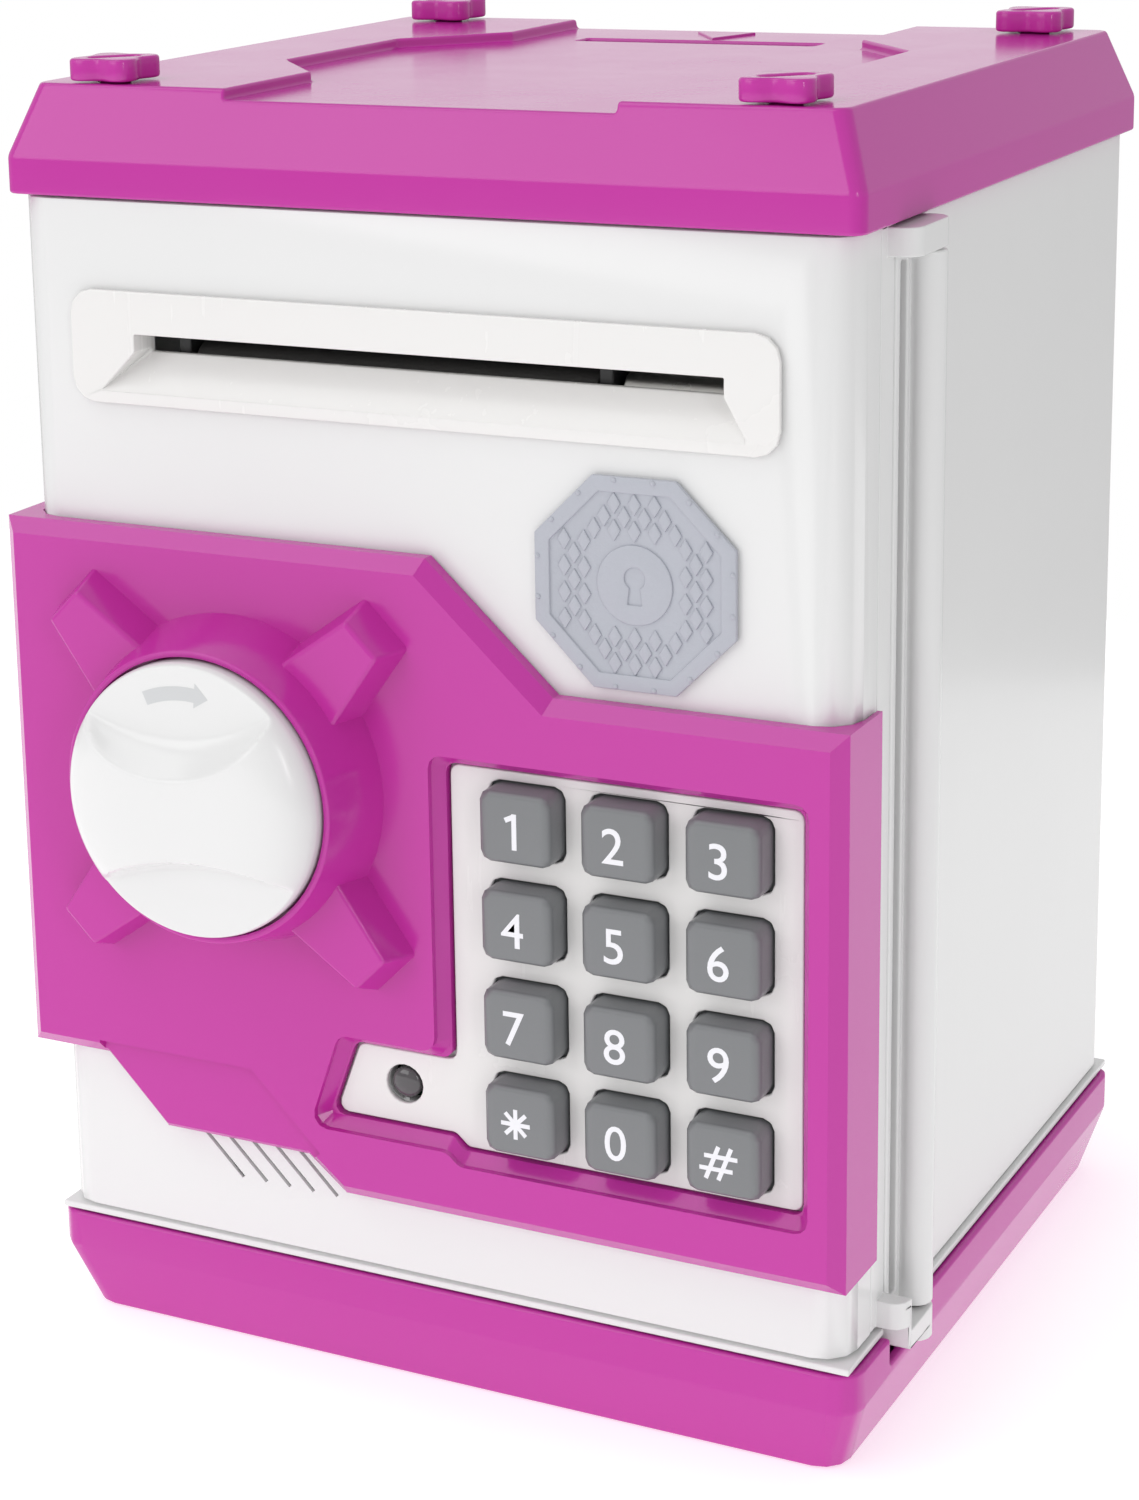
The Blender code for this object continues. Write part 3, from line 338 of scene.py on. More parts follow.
mouldedPieces = {
    "base_tray": {"name": "baseTray", "finish": "pink", "radius": 0.5, "angle": 20.0},
    "floor_panel": {"name": "floorPanel", "finish": "white", "radius": 0.25, "angle": 40.0},
    "body_shell": {"name": "bodyShell", "finish": "white", "radius": 0.35, "angle": 40.0},
    "top_cap": {"name": "topCap", "finish": "pink", "radius": 0.45, "angle": 17.0},
    "door_front": {"name": "doorFront", "finish": "white", "radius": 0, "angle": 40.0},
    "door_back": {"name": "doorBack", "finish": "white", "radius": 0.2, "angle": 40.0},
    "bill_slot_bezel": {"name": "billSlotBezel", "finish": "warmWhite", "radius": 0.2, "angle": 40.0},
    "front_panel": {"name": "frontPanel", "finish": "pink", "radius": 0.4, "angle": 24.0, "clamp": True},
    "keypad_plate": {"name": "keypadPlate", "finish": "warmWhite", "radius": 0.25, "angle": 40.0},
    "battery_box": {"name": "batteryBox", "finish": "innerWhite", "radius": 0, "angle": 40.0},
    "latch_housing": {"name": "latchHousing", "finish": "innerWhite", "radius": 0.5, "angle": 40.0},
    "latch_keeper": {"name": "latchKeeper", "finish": "innerWhite", "radius": 0.3, "angle": 40.0},
    "battery_cover": {"name": "batteryCover", "finish": "innerWhite", "radius": 0.2, "angle": 50.0},
    "latch_bolt": {"name": "latchBolt", "finish": "steel", "radius": 0.3, "angle": 40.0},
    "knob_cam": {"name": "knobCam", "finish": "innerWhite", "radius": 0.3, "angle": 40.0},
    "feed_motor": {"name": "feedMotor", "finish": "steel", "radius": 0.3, "angle": 40.0},
    "feed_roller": {"name": "feedRoller", "finish": "rubber", "radius": 0.3, "angle": 40.0},
    "idler_roller": {"name": "idlerRoller", "finish": "rubber", "radius": 0.3, "angle": 40.0},
    # the roller brackets take the black finish partly as painted shade: it keeps them as dark as the shaded
    # depth of the bill slot
    "roller_bracket_left": {"name": "rollerBracketLeft", "finish": "black", "radius": 0.3, "angle": 40.0},
    "roller_bracket_right": {"name": "rollerBracketRight", "finish": "black", "radius": 0.3, "angle": 40.0},
}


def makeMouldedPieces():
    for node, plan in mouldedPieces.items():
        piece = moulded(node, plan["name"], plan["radius"], plan["angle"], plan.get("clamp", False))
        place(piece, plan["finish"], bodyOf[node], slotOf[node], (node,))
    print("moulded pieces:", len(mouldedPieces))


makeMouldedPieces()


# keys and their legends

keyStyle = {
    "edge": 0.4,
    "edgeAngle": 50.0,
    "shift": (-0.55, -0.3),
    "digitSize": 7.1,
    "digitWeight": 0.03,
    "inkThickness": 0.06,
    "inkSunk": 0.015,
    "inkStep": 0.004,
    "starArms": 8,
    "starReach": 2.2,
    "starStroke": 0.62,
    "hashSize": 4.8,
    "hashSlant": 0.38,
    "hashGap": 0.19,
    "hashStroke": 0.62,
    "oneHeight": 5.1,
    "oneFlag": (1.35, 1.0),
    "oneStroke": 0.72,
}


def textMesh(text, size, weight, thickness):
    curve = bpy.data.curves.new("legendText", "FONT")
    curve.body = text
    curve.size = size * mm
    curve.offset = weight * mm
    curve.extrude = thickness / 2 * mm
    curve.align_x = "CENTER"
    curve.align_y = "CENTER"
    curve.resolution_u = 5
    obj = bpy.data.objects.new("legendText", curve)
    bpy.context.scene.collection.objects.link(obj)
    return bake(obj, "legend")


def barBmesh(bm, start, end, width, thickness):
    # a flat stroke between two points in the key's plane
    start, end = Vector(start), Vector(end)
    along = end - start
    made = bmesh.ops.create_cube(bm, size=1.0)["verts"]
    bmesh.ops.scale(bm, vec=(along.length, width, thickness), verts=made)
    turn = Matrix.Rotation(math.atan2(along.y, along.x), 3, "Z")
    bmesh.ops.rotate(bm, cent=(0, 0, 0), matrix=turn, verts=made)
    middle = (start + end) / 2
    bmesh.ops.translate(bm, vec=(middle.x, middle.y, 0), verts=made)


def strokesMesh(strokes, width, thickness):
    # each stroke is a bar of its own, a hair thicker than the last so that none lie in one plane
    bm = bmesh.new()
    for index, (start, end) in enumerate(strokes):
        barBmesh(bm, start, end, width, thickness + keyStyle["inkStep"] * index)
    return fromBmesh("legend", bm)


def starStrokes():
    reach = keyStyle["starReach"]
    arms = keyStyle["starArms"] // 2
    strokes = []
    for arm in range(arms):
        angle = math.pi * arm / arms
        x, y = reach * math.sin(angle), reach * math.cos(angle)
        strokes.append(((-x, -y), (x, y)))
    return strokes


def hashStrokes():
    size, slant = keyStyle["hashSize"], keyStyle["hashSlant"]
    half = size / 2
    gap = size * keyStyle["hashGap"]
    strokes = []
    for side in (-1, 1):
        strokes.append(((side * gap - slant * half, -half), (side * gap + slant * half, half)))
        strokes.append(((-half + slant * side * gap, side * gap), (half + slant * side * gap, side * gap)))
    return strokes


def oneStrokes():
    half = keyStyle["oneHeight"] / 2
    across, down = keyStyle["oneFlag"]
    return [((0, -half), (0, half)), ((0.1, half - 0.3), (-across, half - down))]


def legendFor(label):
    style = keyStyle
    thickness = style["inkThickness"]
    if label == "star":
        return strokesMesh(starStrokes(), style["starStroke"], thickness)
    if label == "hash":
        return strokesMesh(hashStrokes(), style["hashStroke"], thickness)
    if label == "1":
        return strokesMesh(oneStrokes(), style["oneStroke"], thickness)
    return textMesh(label, style["digitSize"], style["digitWeight"], thickness)


def makeKeys():
    style = keyStyle
    right, up = style["shift"]
    for node in [name for name in frame["nodes"] if name.startswith("key_") and name != "key_mat"]:
        label = node.split("_")[1]
        low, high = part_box(node)
        key = moulded(node, "key" + label.capitalize(), style["edge"], style["edgeAngle"])
        place(key, "keyGrey", bodyOf[node], slotOf[node], (node,))
        legend = legendFor(label)
        corners = [vert.co.copy() for vert in legend.data.vertices]
        midX = (min(c.x for c in corners) + max(c.x for c in corners)) / 2
        midY = (min(c.y for c in corners) + max(c.y for c in corners)) / 2
        legend.data.transform(Matrix.Translation((-midX, -midY, 0)))
        legend.data.transform(Matrix.Rotation(math.pi / 2, 4, "X"))
        face = Vector(((low.x + high.x) / 2 + right * mm, low.y, (low.z + high.z) / 2 + up * mm))
        legend.data.transform(Matrix.Translation(face - Vector((0, style["inkSunk"] * mm, 0))))
        legend.name = "legend" + label.capitalize()
        place(legend, "ink", bodyOf[node], slotOf[node])
    print("keys and legends done")


makeKeys()


# knob

knobStyle = {
    "radius": 19.75,
    "height": 8.6,
    "rim": 3.4,
    "stemRadius": 3.6,
    "segments": 240,
    "rings": 84,
    "tilt": 5.0,
    "floorHeight": 4.5,
    "edge": 0.32,
    "floorBlend": 1.6,
    "leastWall": 0.4,
    "domeBend": 5.0,
    "domeFall": 0.62,
    # the rim's lower edge as (step in from the radius, height)
    "lowerRim": ((0, 0.7), (0.25, 0.2), (0.7, 0.0)),
    "sharpAngle": 50,
    # each scoop: how far its floor and its upper edge keep from the middle, and the radii of both arcs
    "upperScoop": {"side": 1, "floorGap": 8.2, "floorArc": 30.0, "edgeGap": 4.2, "edgeArc": 22.5},
    "lowerScoop": {"side": -1, "floorGap": 9.0, "floorArc": 44.0, "edgeGap": 7.4, "edgeArc": 40.0},
}


def latheObject(name, profile, segments):
    # a profile of (radius, height) turned about Z
    bm = bmesh.new()
    verts = [bm.verts.new((radius, 0, height)) for radius, height in profile]
    for first, second in zip(verts, verts[1:]):
        bm.edges.new((first, second))
    bmesh.ops.spin(bm, geom=bm.verts[:] + bm.edges[:], cent=(0, 0, 0), axis=(0, 0, 1), angle=2 * math.pi,
                   steps=segments, use_merge=True)
    bmesh.ops.remove_doubles(bm, verts=bm.verts, dist=1e-5)
    bmesh.ops.recalc_face_normals(bm, faces=bm.faces)
    return fromBmesh(name, bm)


def cutWith(obj, tool):
    cut = obj.modifiers.new("cut", "BOOLEAN")
    cut.operation = "DIFFERENCE"
    cut.solver = "EXACT"
    cut.object = tool


def smoothLower(first, second, blend):
    # the lower of two heights, with a rounded change from one to the other
    mix = max(blend - abs(first - second), 0.0) / blend
    return min(first, second) - mix * mix * blend / 4


def scoopHeight(x, y, plan):
    # floor height inside the floor arc, rising as a slanted wall to the edge arc and beyond
    style = knobStyle
    y = y * plan["side"]
    floorReach = math.hypot(x, y - plan["floorGap"] - plan["floorArc"]) - plan["floorArc"]
    edgeReach = math.hypot(x, y - plan["edgeGap"] - plan["edgeArc"]) - plan["edgeArc"]
    rise = style["height"] - style["floorHeight"]
    span = max(floorReach - edgeReach, style["leastWall"])
    wall = style["floorHeight"] + rise * floorReach / span
    return -smoothLower(-wall, -style["floorHeight"], style["floorBlend"])


def knobHeight(x, y):
    style = knobStyle
    reach = min(math.hypot(x, y) / style["radius"], 1.0)
    swell = (1 - reach ** style["domeBend"]) ** style["domeFall"]
    dome = style["rim"] + (style["height"] - style["rim"]) * swell
    height = smoothLower(dome, scoopHeight(x, y, style["upperScoop"]), style["edge"])
    return smoothLower(height, scoopHeight(x, y, style["lowerScoop"]), style["edge"])


def makeKnob():
    style = knobStyle
    low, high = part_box("knob")
    centre = (low + high) / 2 / mm
    backY = low.y / mm + style["height"]
    stemDepth = high.y / mm - backY
    radius, stem, count = style["radius"], style["stemRadius"], style["segments"]
    angles = [2 * math.pi * step / count for step in range(count)]
    turns = [(math.cos(angle), math.sin(angle)) for angle in angles]
    bm = bmesh.new()
    crown = bm.verts.new((0, 0, knobHeight(0, 0)))
    rings = []
    for ring in range(1, style["rings"] + 1):
        # rings crowd towards the rim, where the dome turns down
        reach = radius * math.sin(ring / style["rings"] * math.pi / 2)
        spots = [(reach * x, reach * y) for x, y in turns]
        rings.append([bm.verts.new((x, y, knobHeight(x, y))) for x, y in spots])
    lower = [(radius - inset, height) for inset, height in style["lowerRim"]]
    for reach, height in lower + [(stem, 0.0), (stem, -stemDepth)]:
        rings.append([bm.verts.new((reach * x, reach * y, height)) for x, y in turns])
    for step in range(count):
        bm.faces.new((crown, rings[0][step], rings[0][(step + 1) % count]))
    for inner, outer in zip(rings, rings[1:]):
        for step in range(count):
            after = (step + 1) % count
            bm.faces.new((inner[step], outer[step], outer[after], inner[after]))
    bm.faces.new(rings[-1][::-1])
    bmesh.ops.recalc_face_normals(bm, faces=bm.faces)
    knob = fromBmesh("turningKnob", bm)
    turn = Matrix.Rotation(math.pi / 2, 4, "X") @ Matrix.Rotation(math.radians(style["tilt"]), 4, "Z")
    seat = Matrix.Translation(Vector((centre.x, backY, centre.z)) * mm)
    knob.data.transform(seat @ turn)
    shadeCurves(knob, style["sharpAngle"])
    place(knob, "white", bodyOf["knob"], slotOf["knob"], ("knob",))
    makeKnobArrow(seat @ turn)
    print("knob done")


arrowStyle = {
    "radius": 15.6,
    "halfAngle": 19.0,
    "width": 2.0,
    "headAngle": 8.0,
    "headWidth": 3.6,
    "thickness": 0.05,
    "sunk": 0.02,
    "tip": 0.02,
    "steps": 20,
}


def makeKnobArrow(seat):
    # a printed curved arrow that shows which way the knob turns
    style = arrowStyle
    bm = bmesh.new()
    start, end = 90 + style["halfAngle"], 90 - style["halfAngle"]
    headStart = end + style["headAngle"]
    rings = []
    for step in range(style["steps"] + 1):
        angle = math.radians(start + (headStart - start) * step / style["steps"])
        rings.append((angle, style["width"] / 2))
    rings += [(math.radians(headStart), style["headWidth"] / 2), (math.radians(end), style["tip"])]
    columns = []
    for angle, half in rings:
        column = []
        for side, layer in ((-1, 0), (1, 0), (1, 1), (-1, 1)):
            reach = style["radius"] + side * half
            height = knobStyle["floorHeight"] - style["sunk"] + layer * style["thickness"]
            column.append(bm.verts.new((reach * math.cos(angle), reach * math.sin(angle), height)))
        columns.append(column)
    for first, second in zip(columns, columns[1:]):
        for side in range(4):
            bm.faces.new((first[side], first[(side + 1) % 4], second[(side + 1) % 4], second[side]))
    bm.faces.new(columns[0][::-1])
    bm.faces.new(columns[-1])
    bmesh.ops.recalc_face_normals(bm, faces=bm.faces)
    arrow = fromBmesh("turnArrow", bm)
    arrow.data.transform(seat)
    place(arrow, "printGrey", bodyOf["knob"], slotOf["knob"])


makeKnob()


# repeats: one shape set on each point of a small host mesh

def repeatTree():
    tree, inside, outside = newGroup("repeatOnPoints", "GeometryNodeTree", [
        ("Points", "NodeSocketGeometry", None),
        ("Shape", "NodeSocketObject", None),
        ("Finish", "NodeSocketMaterial", None),
    ], [("Geometry", "NodeSocketGeometry")])
    info = addNode(tree, "GeometryNodeObjectInfo")
    copies = addNode(tree, "GeometryNodeInstanceOnPoints")
    real = addNode(tree, "GeometryNodeRealizeInstances")
    dress = addNode(tree, "GeometryNodeSetMaterial")
    wire(tree, inside.outputs["Shape"], info.inputs["Object"])
    wire(tree, inside.outputs["Points"], copies.inputs["Points"])
    wire(tree, info.outputs["Geometry"], copies.inputs["Instance"])
    wire(tree, copies.outputs["Instances"], real.inputs["Geometry"])
    wire(tree, real.outputs["Geometry"], dress.inputs["Geometry"])
    wire(tree, inside.outputs["Finish"], dress.inputs["Material"])
    wire(tree, dress.outputs["Geometry"], outside.inputs["Geometry"])
    return tree


repeatOnPoints = repeatTree()


def repeated(name, shape, points, finish):
    # the shape on every point, as one plain mesh; the shape is removed
    mesh = bpy.data.meshes.new(name)
    mesh.from_pydata([Vector(point) * mm for point in points], [], [])
    host = bpy.data.objects.new(name + "Host", mesh)
    bpy.context.scene.collection.objects.link(host)
    repeat = host.modifiers.new("repeat", "NODES")
    repeat.node_group = repeatOnPoints
    values = {"Shape": shape, "Finish": finishes[finish]}
    for item in repeatOnPoints.interface.items_tree:
        if item.in_out == "INPUT" and item.name in values:
            repeat[item.identifier] = values[item.name]
    made = bake(host, name)
    removeAll([shape])
    return made


# corner bolts

boltStyle = {
    "lobes": 4,
    "lobeDepth": 1.0,
    "radius": 5.35,
    "slotLength": 7.4,
    "slotWidth": 2.6,
    "slotDepth": 1.7,
    "edge": 0.45,
    "edgeAngle": 40.0,
    "lift": 0.3,
    "stemRadius": 2.2,
    "stemOverlap": 0.2,
    "stemSegments": 32,
    "steps": 96,
    "turn": 45.0,
}


def prismObject(name, outline, low, high):
    # a flat outline raised between two heights
    bm = bmesh.new()
    bottom = [bm.verts.new((x, y, low)) for x, y in outline]
    top = [bm.verts.new((x, y, high)) for x, y in outline]
    bm.faces.new(bottom[::-1])
    bm.faces.new(top)
    for index in range(len(outline)):
        after = (index + 1) % len(outline)
        bm.faces.new((bottom[index], bottom[after], top[after], top[index]))
    bmesh.ops.recalc_face_normals(bm, faces=bm.faces)
    return fromBmesh(name, bm)


def stadium(length, width, steps=10):
    half, radius = (length - width) / 2, width / 2
    points = []
    for side, start in ((1, -90), (-1, 90)):
        for step in range(steps + 1):
            angle = math.radians(start + 180 * step / steps)
            points.append((side * half + radius * math.cos(angle), radius * math.sin(angle)))
    return points


def makeCornerBolts():
    style = boltStyle
    corners = [node for node in frame["nodes"] if node.startswith("corner_bolt_")]
    low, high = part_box(corners[0])
    foot, height = low.z / mm, high.z / mm
    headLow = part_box("top_cap")[1].z / mm + style["lift"]
    outline = []
    for step in range(style["steps"]):
        angle = 2 * math.pi * step / style["steps"]
        reach = style["radius"] + style["lobeDepth"] * math.cos(style["lobes"] * angle)
        outline.append((reach * math.cos(angle), reach * math.sin(angle)))
    head = prismObject("boltHead", outline, headLow, height)
    slotOutline = stadium(style["slotLength"], style["slotWidth"])
    slot = prismObject("boltSlot", slotOutline, height - style["slotDepth"], height + 1)
    cutWith(head, slot)
    head = bake(roundEdges(head, style["edge"], style["edgeAngle"]), "boltShape")
    removeAll([slot])
    top = headLow + style["stemOverlap"]
    profile = [(0, top), (style["stemRadius"], top), (style["stemRadius"], foot), (0, foot)]
    shape = joined("boltShape", [head, latheObject("boltStem", profile, style["stemSegments"])])
    shape.data.transform(Matrix.Rotation(math.radians(style["turn"]), 4, "Z"))
    shape.data.shade_smooth()
    points = []
    for node in corners:
        low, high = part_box(node)
        points.append(((low.x + high.x) / 2 / mm, (low.y + high.y) / 2 / mm, 0))
    bolts = repeated("cornerBolts", shape, points, "pink")
    place(bolts, "pink", bodyOf[corners[0]], slotOf[corners[0]], tuple(corners))
    print("corner bolts done")


makeCornerBolts()


# boss: the round collar that the knob sits in, and its four wedge-shaped spokes

bossStyle = {
    "outerBase": 24.1,
    "outerTop": 21.1,
    "well": 20.15,
    "base": -63.0,
    "front": -73.3,
    "wellFloor": -70.6,
    "lip": 0.35,
    "lipSteps": 4,
    "footSpread": 0.3,
    "segments": 160,
    "edge": 0.55,
    "edgeAngle": 30.0,
    "edgeSteps": 4,
    "firstSpoke": 45.0,
    "sharpAngle": 60,
    # each spoke as half-widths and reach, at its foot and at its face
    "spokeNear": 18.5,
    "foot": {"level": -62.0, "near": 7.75, "end": 4.8, "reach": 36.0},
    "face": {"level": -68.55, "near": 6.05, "end": 3.3, "reach": 33.85},
}


def spokeObject():
    style = bossStyle
    near = style["spokeNear"]
    bm = bmesh.new()
    rings = []
    for plan in (style["foot"], style["face"]):
        outline = [(near, -plan["near"]), (plan["reach"], -plan["end"]), (plan["reach"], plan["end"]),
                   (near, plan["near"])]
        rings.append([bm.verts.new((x, y, -plan["level"])) for x, y in outline])
    foot, face = rings
    bm.faces.new(foot[::-1])
    bm.faces.new(face)
    for index in range(4):
        after = (index + 1) % 4
        bm.faces.new((foot[index], foot[after], face[after], face[index]))
    bmesh.ops.recalc_face_normals(bm, faces=bm.faces)
    spoke = fromBmesh("spoke", bm)
    return bake(roundEdges(spoke, style["edge"], style["edgeAngle"], style["edgeSteps"]), "spoke")


def collarObject():
    style = bossStyle
    well, outer, base = style["well"], style["outerTop"], -style["base"]
    lip, front, steps = style["lip"], -style["front"], style["lipSteps"]
    slope = (style["outerBase"] - outer) / (front - base)
    profile = [(well, -style["wellFloor"]), (well, front - lip)]
    for step in range(1, steps):
        angle = math.pi / 2 * step / steps
        profile.append((well + lip * (1 - math.cos(angle)), front - lip + lip * math.sin(angle)))
    profile.append((outer - lip, front))
    for step in range(1, steps + 1):
        angle = math.pi / 2 * step / steps
        profile.append((outer - lip + lip * math.sin(angle), front - lip + lip * math.cos(angle)))
    profile += [(style["outerBase"] - slope * style["footSpread"], base), (well, base), profile[0]]
    return latheObject("collar", profile, style["segments"])


def makeBoss():
    style = bossStyle
    low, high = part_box("knob")
    parts = [collarObject()]
    for quarter in range(4):
        spoke = spokeObject()
        spoke.data.transform(Matrix.Rotation(math.radians(style["firstSpoke"] + 90 * quarter), 4, "Z"))
        parts.append(spoke)
    boss = joined("knobBoss", parts)
    seat = Matrix.Translation(((low.x + high.x) / 2, 0, (low.z + high.z) / 2))
    boss.data.transform(seat @ Matrix.Rotation(math.pi / 2, 4, "X"))
    shadeCurves(boss, style["sharpAngle"])
    boss = bake(evenShading(boss), "knobBoss")
    place(boss, "pink", bodyOf["front_panel"], slotOf["front_panel"])
    print("boss done")


makeBoss()


# plaque: an octagonal medallion with a riveted rim, a diamond lattice and a keyhole

plaqueStyle = {
    "sides": 8,
    "rimWidth": 2.3,
    "baseRise": 0.35,
    "rimRise": 0.75,
    "fieldRise": 0.62,
    "fieldRadius": 5.4,
    "fieldSteps": 48,
    "keyholeSteps": 32,
    "edge": 0.15,
    "edgeAngle": 30.0,
    "sharpAngle": 40,
    "bottom": 0.1,
    "rivets": 16,
    "rivetInset": 1.35,
    "rivetProfile": ((0, 0.28), (0.2, 0.24), (0.34, 0.13), (0.42, -0.1), (0, -0.1)),
    "rivetSegments": 14,
    "diamondRows": 8,
    "diamondPitch": (2.9, 3.6),
    "diamondSize": (0.95, 1.5),
    "diamondEdge": 0.12,
    # how far the diamonds keep from the middle boss and from the rim
    "diamondClear": (1.7, 1.3),
    "keyholeRadius": 1.5,
    "keyholeLength": 3.6,
    "keyholeRise": 0.9,
    "keyholeFloor": 0.25,
    # the slot's half-width at its top and at its foot
    "keyholeSlot": (0.5775, 1.0725),
}


def ringPoints(count, radius, offset=0.5):
    angles = [2 * math.pi * (n + offset) / count for n in range(count)]
    return [(radius * math.cos(angle), radius * math.sin(angle)) for angle in angles]


def insideRing(x, y, sides, radius):
    # whether a point is inside a regular outline with its flats at the given half-width
    flat = radius * math.cos(math.pi / sides)
    return all(x * math.cos(2 * math.pi * n / sides) + y * math.sin(2 * math.pi * n / sides) < flat
               for n in range(sides))


def plaqueBody(outer, inner):
    style = plaqueStyle
    body = prismObject("plaqueBody", ringPoints(style["sides"], outer), 0, style["rimRise"])
    well = prismObject("plaqueWell", ringPoints(style["sides"], inner), style["baseRise"], 2)
    cutWith(body, well)
    body = bake(roundEdges(body, style["edge"], style["edgeAngle"]), "plaqueBody")
    removeAll([well])
    return body


def plaqueBoss():
    # the raised middle with its keyhole
    style = plaqueStyle
    radius, length, floor = style["keyholeRadius"], style["keyholeLength"], style["keyholeFloor"]
    top, foot = style["keyholeSlot"]
    slot = [(-top, 0), (-foot, -length), (foot, -length), (top, 0)]
    ring = ringPoints(style["fieldSteps"], style["fieldRadius"])
    boss = prismObject("plaqueBoss", ring, style["bottom"], style["fieldRise"])
    tools = [prismObject("keyholeTop", ringPoints(style["keyholeSteps"], radius), floor, 2),
             prismObject("keyholeSlot", slot, floor, 2)]
    for tool in tools:
        tool.data.transform(Matrix.Translation((0, style["keyholeRise"] * mm, 0)))
        cutWith(boss, tool)
    boss = bake(roundEdges(boss, style["edge"], style["edgeAngle"]), "plaqueBoss")
    removeAll(tools)
    return boss


def plaqueDiamonds(inner):
    # a staggered lattice between the middle boss and the rim
    style = plaqueStyle
    wide, tall = style["diamondSize"]
    pitchX, pitchY = style["diamondPitch"]
    fromBoss, fromRim = style["diamondClear"]
    outline = [(wide, 0), (0, tall), (-wide, 0), (0, -tall)]
    diamond = prismObject("diamond", outline, style["bottom"], style["fieldRise"])
    diamond = bake(roundEdges(diamond, style["diamondEdge"], style["edgeAngle"], 2), "diamond")
    points = []
    reach = style["diamondRows"]
    for row in range(-reach, reach + 1):
        for column in range(-reach, reach + 1):
            x, y = (column + 0.5 * (row % 2)) * pitchX, row * pitchY / 2
            clear = math.hypot(x, y) > style["fieldRadius"] + fromBoss
            if clear and insideRing(x, y, style["sides"], inner - fromRim):
                points.append((x, y, 0))
    return repeated("plaqueDiamonds", diamond, points, "silver")


def plaqueRivets(outer):
    style = plaqueStyle
    rivet = latheObject("rivet", style["rivetProfile"], style["rivetSegments"])
    ring = ringPoints(style["rivets"], outer - style["rivetInset"])
    return repeated("plaqueRivets", rivet, [(x, y, style["rimRise"]) for x, y in ring], "silver")


def makePlaque():
    style = plaqueStyle
    low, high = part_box("door_plaque")
    centre = (low + high) / 2 / mm
    outer = (high.x - low.x) / 2 / mm / math.cos(math.pi / style["sides"])
    inner = outer - style["rimWidth"]
    parts = [plaqueBody(outer, inner), plaqueBoss(), plaqueRivets(outer), plaqueDiamonds(inner)]
    plaque = joined("plaqueMedallion", parts)
    seat = Matrix.Translation(Vector((centre.x, high.y / mm, centre.z)) * mm)
    plaque.data.transform(seat @ Matrix.Rotation(math.pi / 2, 4, "X"))
    shadeCurves(plaque, style["sharpAngle"])
    place(plaque, "silver", bodyOf["door_plaque"], slotOf["door_plaque"], ("door_plaque",))
    print("plaque done")


makePlaque()


# indicator lens: a dark dome sunk in its hole

lensStyle = {"radius": 2.3, "dome": 0.9, "sunk": 0.55, "steps": 10, "segments": 40, "sharpAngle": 40}


def makeLens():
    style = lensStyle
    low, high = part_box("indicator_led")
    centre = (low + high) / 2 / mm
    front = low.y / mm + style["sunk"]
    depth = high.y / mm - front
    profile = []
    for step in range(style["steps"] + 1):
        angle = math.radians(90 * step / style["steps"])
        profile.append((style["radius"] * math.sin(angle), -style["dome"] * (1 - math.cos(angle))))
    profile += [(style["radius"], -depth), (0.0, -depth)]
    lens = latheObject("indicatorLens", profile, style["segments"])
    seat = Matrix.Translation(Vector((centre.x, front, centre.z)) * mm)
    lens.data.transform(seat @ Matrix.Rotation(math.pi / 2, 4, "X"))
    shadeCurves(lens, style["sharpAngle"])
    place(lens, "lens", bodyOf["indicator_led"], slotOf["indicator_led"], ("indicator_led",))


makeLens()


# screws: pan heads with a cross recess

screwStyle = {
    "crossLength": 3.3,
    "crossWidth": 0.8,
    "crossDepth": 0.9,
    "head": 1.6,
    "headRadius": 2.7,
    # the head's curve as shares of its radius and height
    "headCurve": ((0, 1.0), (0.6, 0.95), (0.85, 0.78), (0.97, 0.45), (1.0, 0)),
    "shankRadius": 1.3,
    "segments": 40,
    "sharpAngle": 35,
}


def screwShape(length):
    # a pan head on +Z with a cross cut into it, and its shank below zero
    style = screwStyle
    top, rim, shank = style["head"], style["headRadius"], style["shankRadius"]
    profile = [(rim * across, top * up) for across, up in style["headCurve"]]
    profile += [(shank, 0), (shank, -length), (0, -length)]
    screw = latheObject("screwBody", profile, style["segments"])
    half, thin = style["crossLength"] / 2, style["crossWidth"] / 2
    bars = []
    for x, y in ((half, thin), (thin, half)):
        outline = [(-x, -y), (x, -y), (x, y), (-x, y)]
        bar = prismObject("crossBar", outline, top - style["crossDepth"], top + 1)
        cutWith(screw, bar)
        bars.append(bar)
    screw = bake(screw, "screwShape")
    removeAll(bars)
    shadeCurves(screw, style["sharpAngle"])
    return screw


# each row's nodes and piece, and the axis, its sense and the turn from +Z that its heads look along
screwRows = (
    ("door_screw_", "doorScrews", 1, 1, -math.pi / 2),
    ("base_screw_", "baseScrews", 2, -1, math.pi),
)


def makeScrews():
    for start, name, axis, side, turn in screwRows:
        nodes = sorted(node for node in frame["nodes"] if node.startswith(start))
        low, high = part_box(nodes[0])
        shape = screwShape((high[axis] - low[axis]) / mm - screwStyle["head"])
        end = (high if side > 0 else low)[axis] / mm
        shift = Vector((0, 0, 0))
        shift[axis] = (end - side * screwStyle["head"]) * mm
        shape.data.transform(Matrix.Translation(shift) @ Matrix.Rotation(turn, 4, "X"))
        points = []
        for node in nodes:
            low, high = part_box(node)
            point = (low + high) / 2 / mm
            point[axis] = 0
            points.append(tuple(point))
        screws = repeated(name, shape, points, "steel")
        place(screws, "steel", bodyOf[nodes[0]], slotOf[nodes[0]], tuple(nodes))
    print("screws done")


makeScrews()


# a small raised arrowhead behind the coin slot, pointing at it

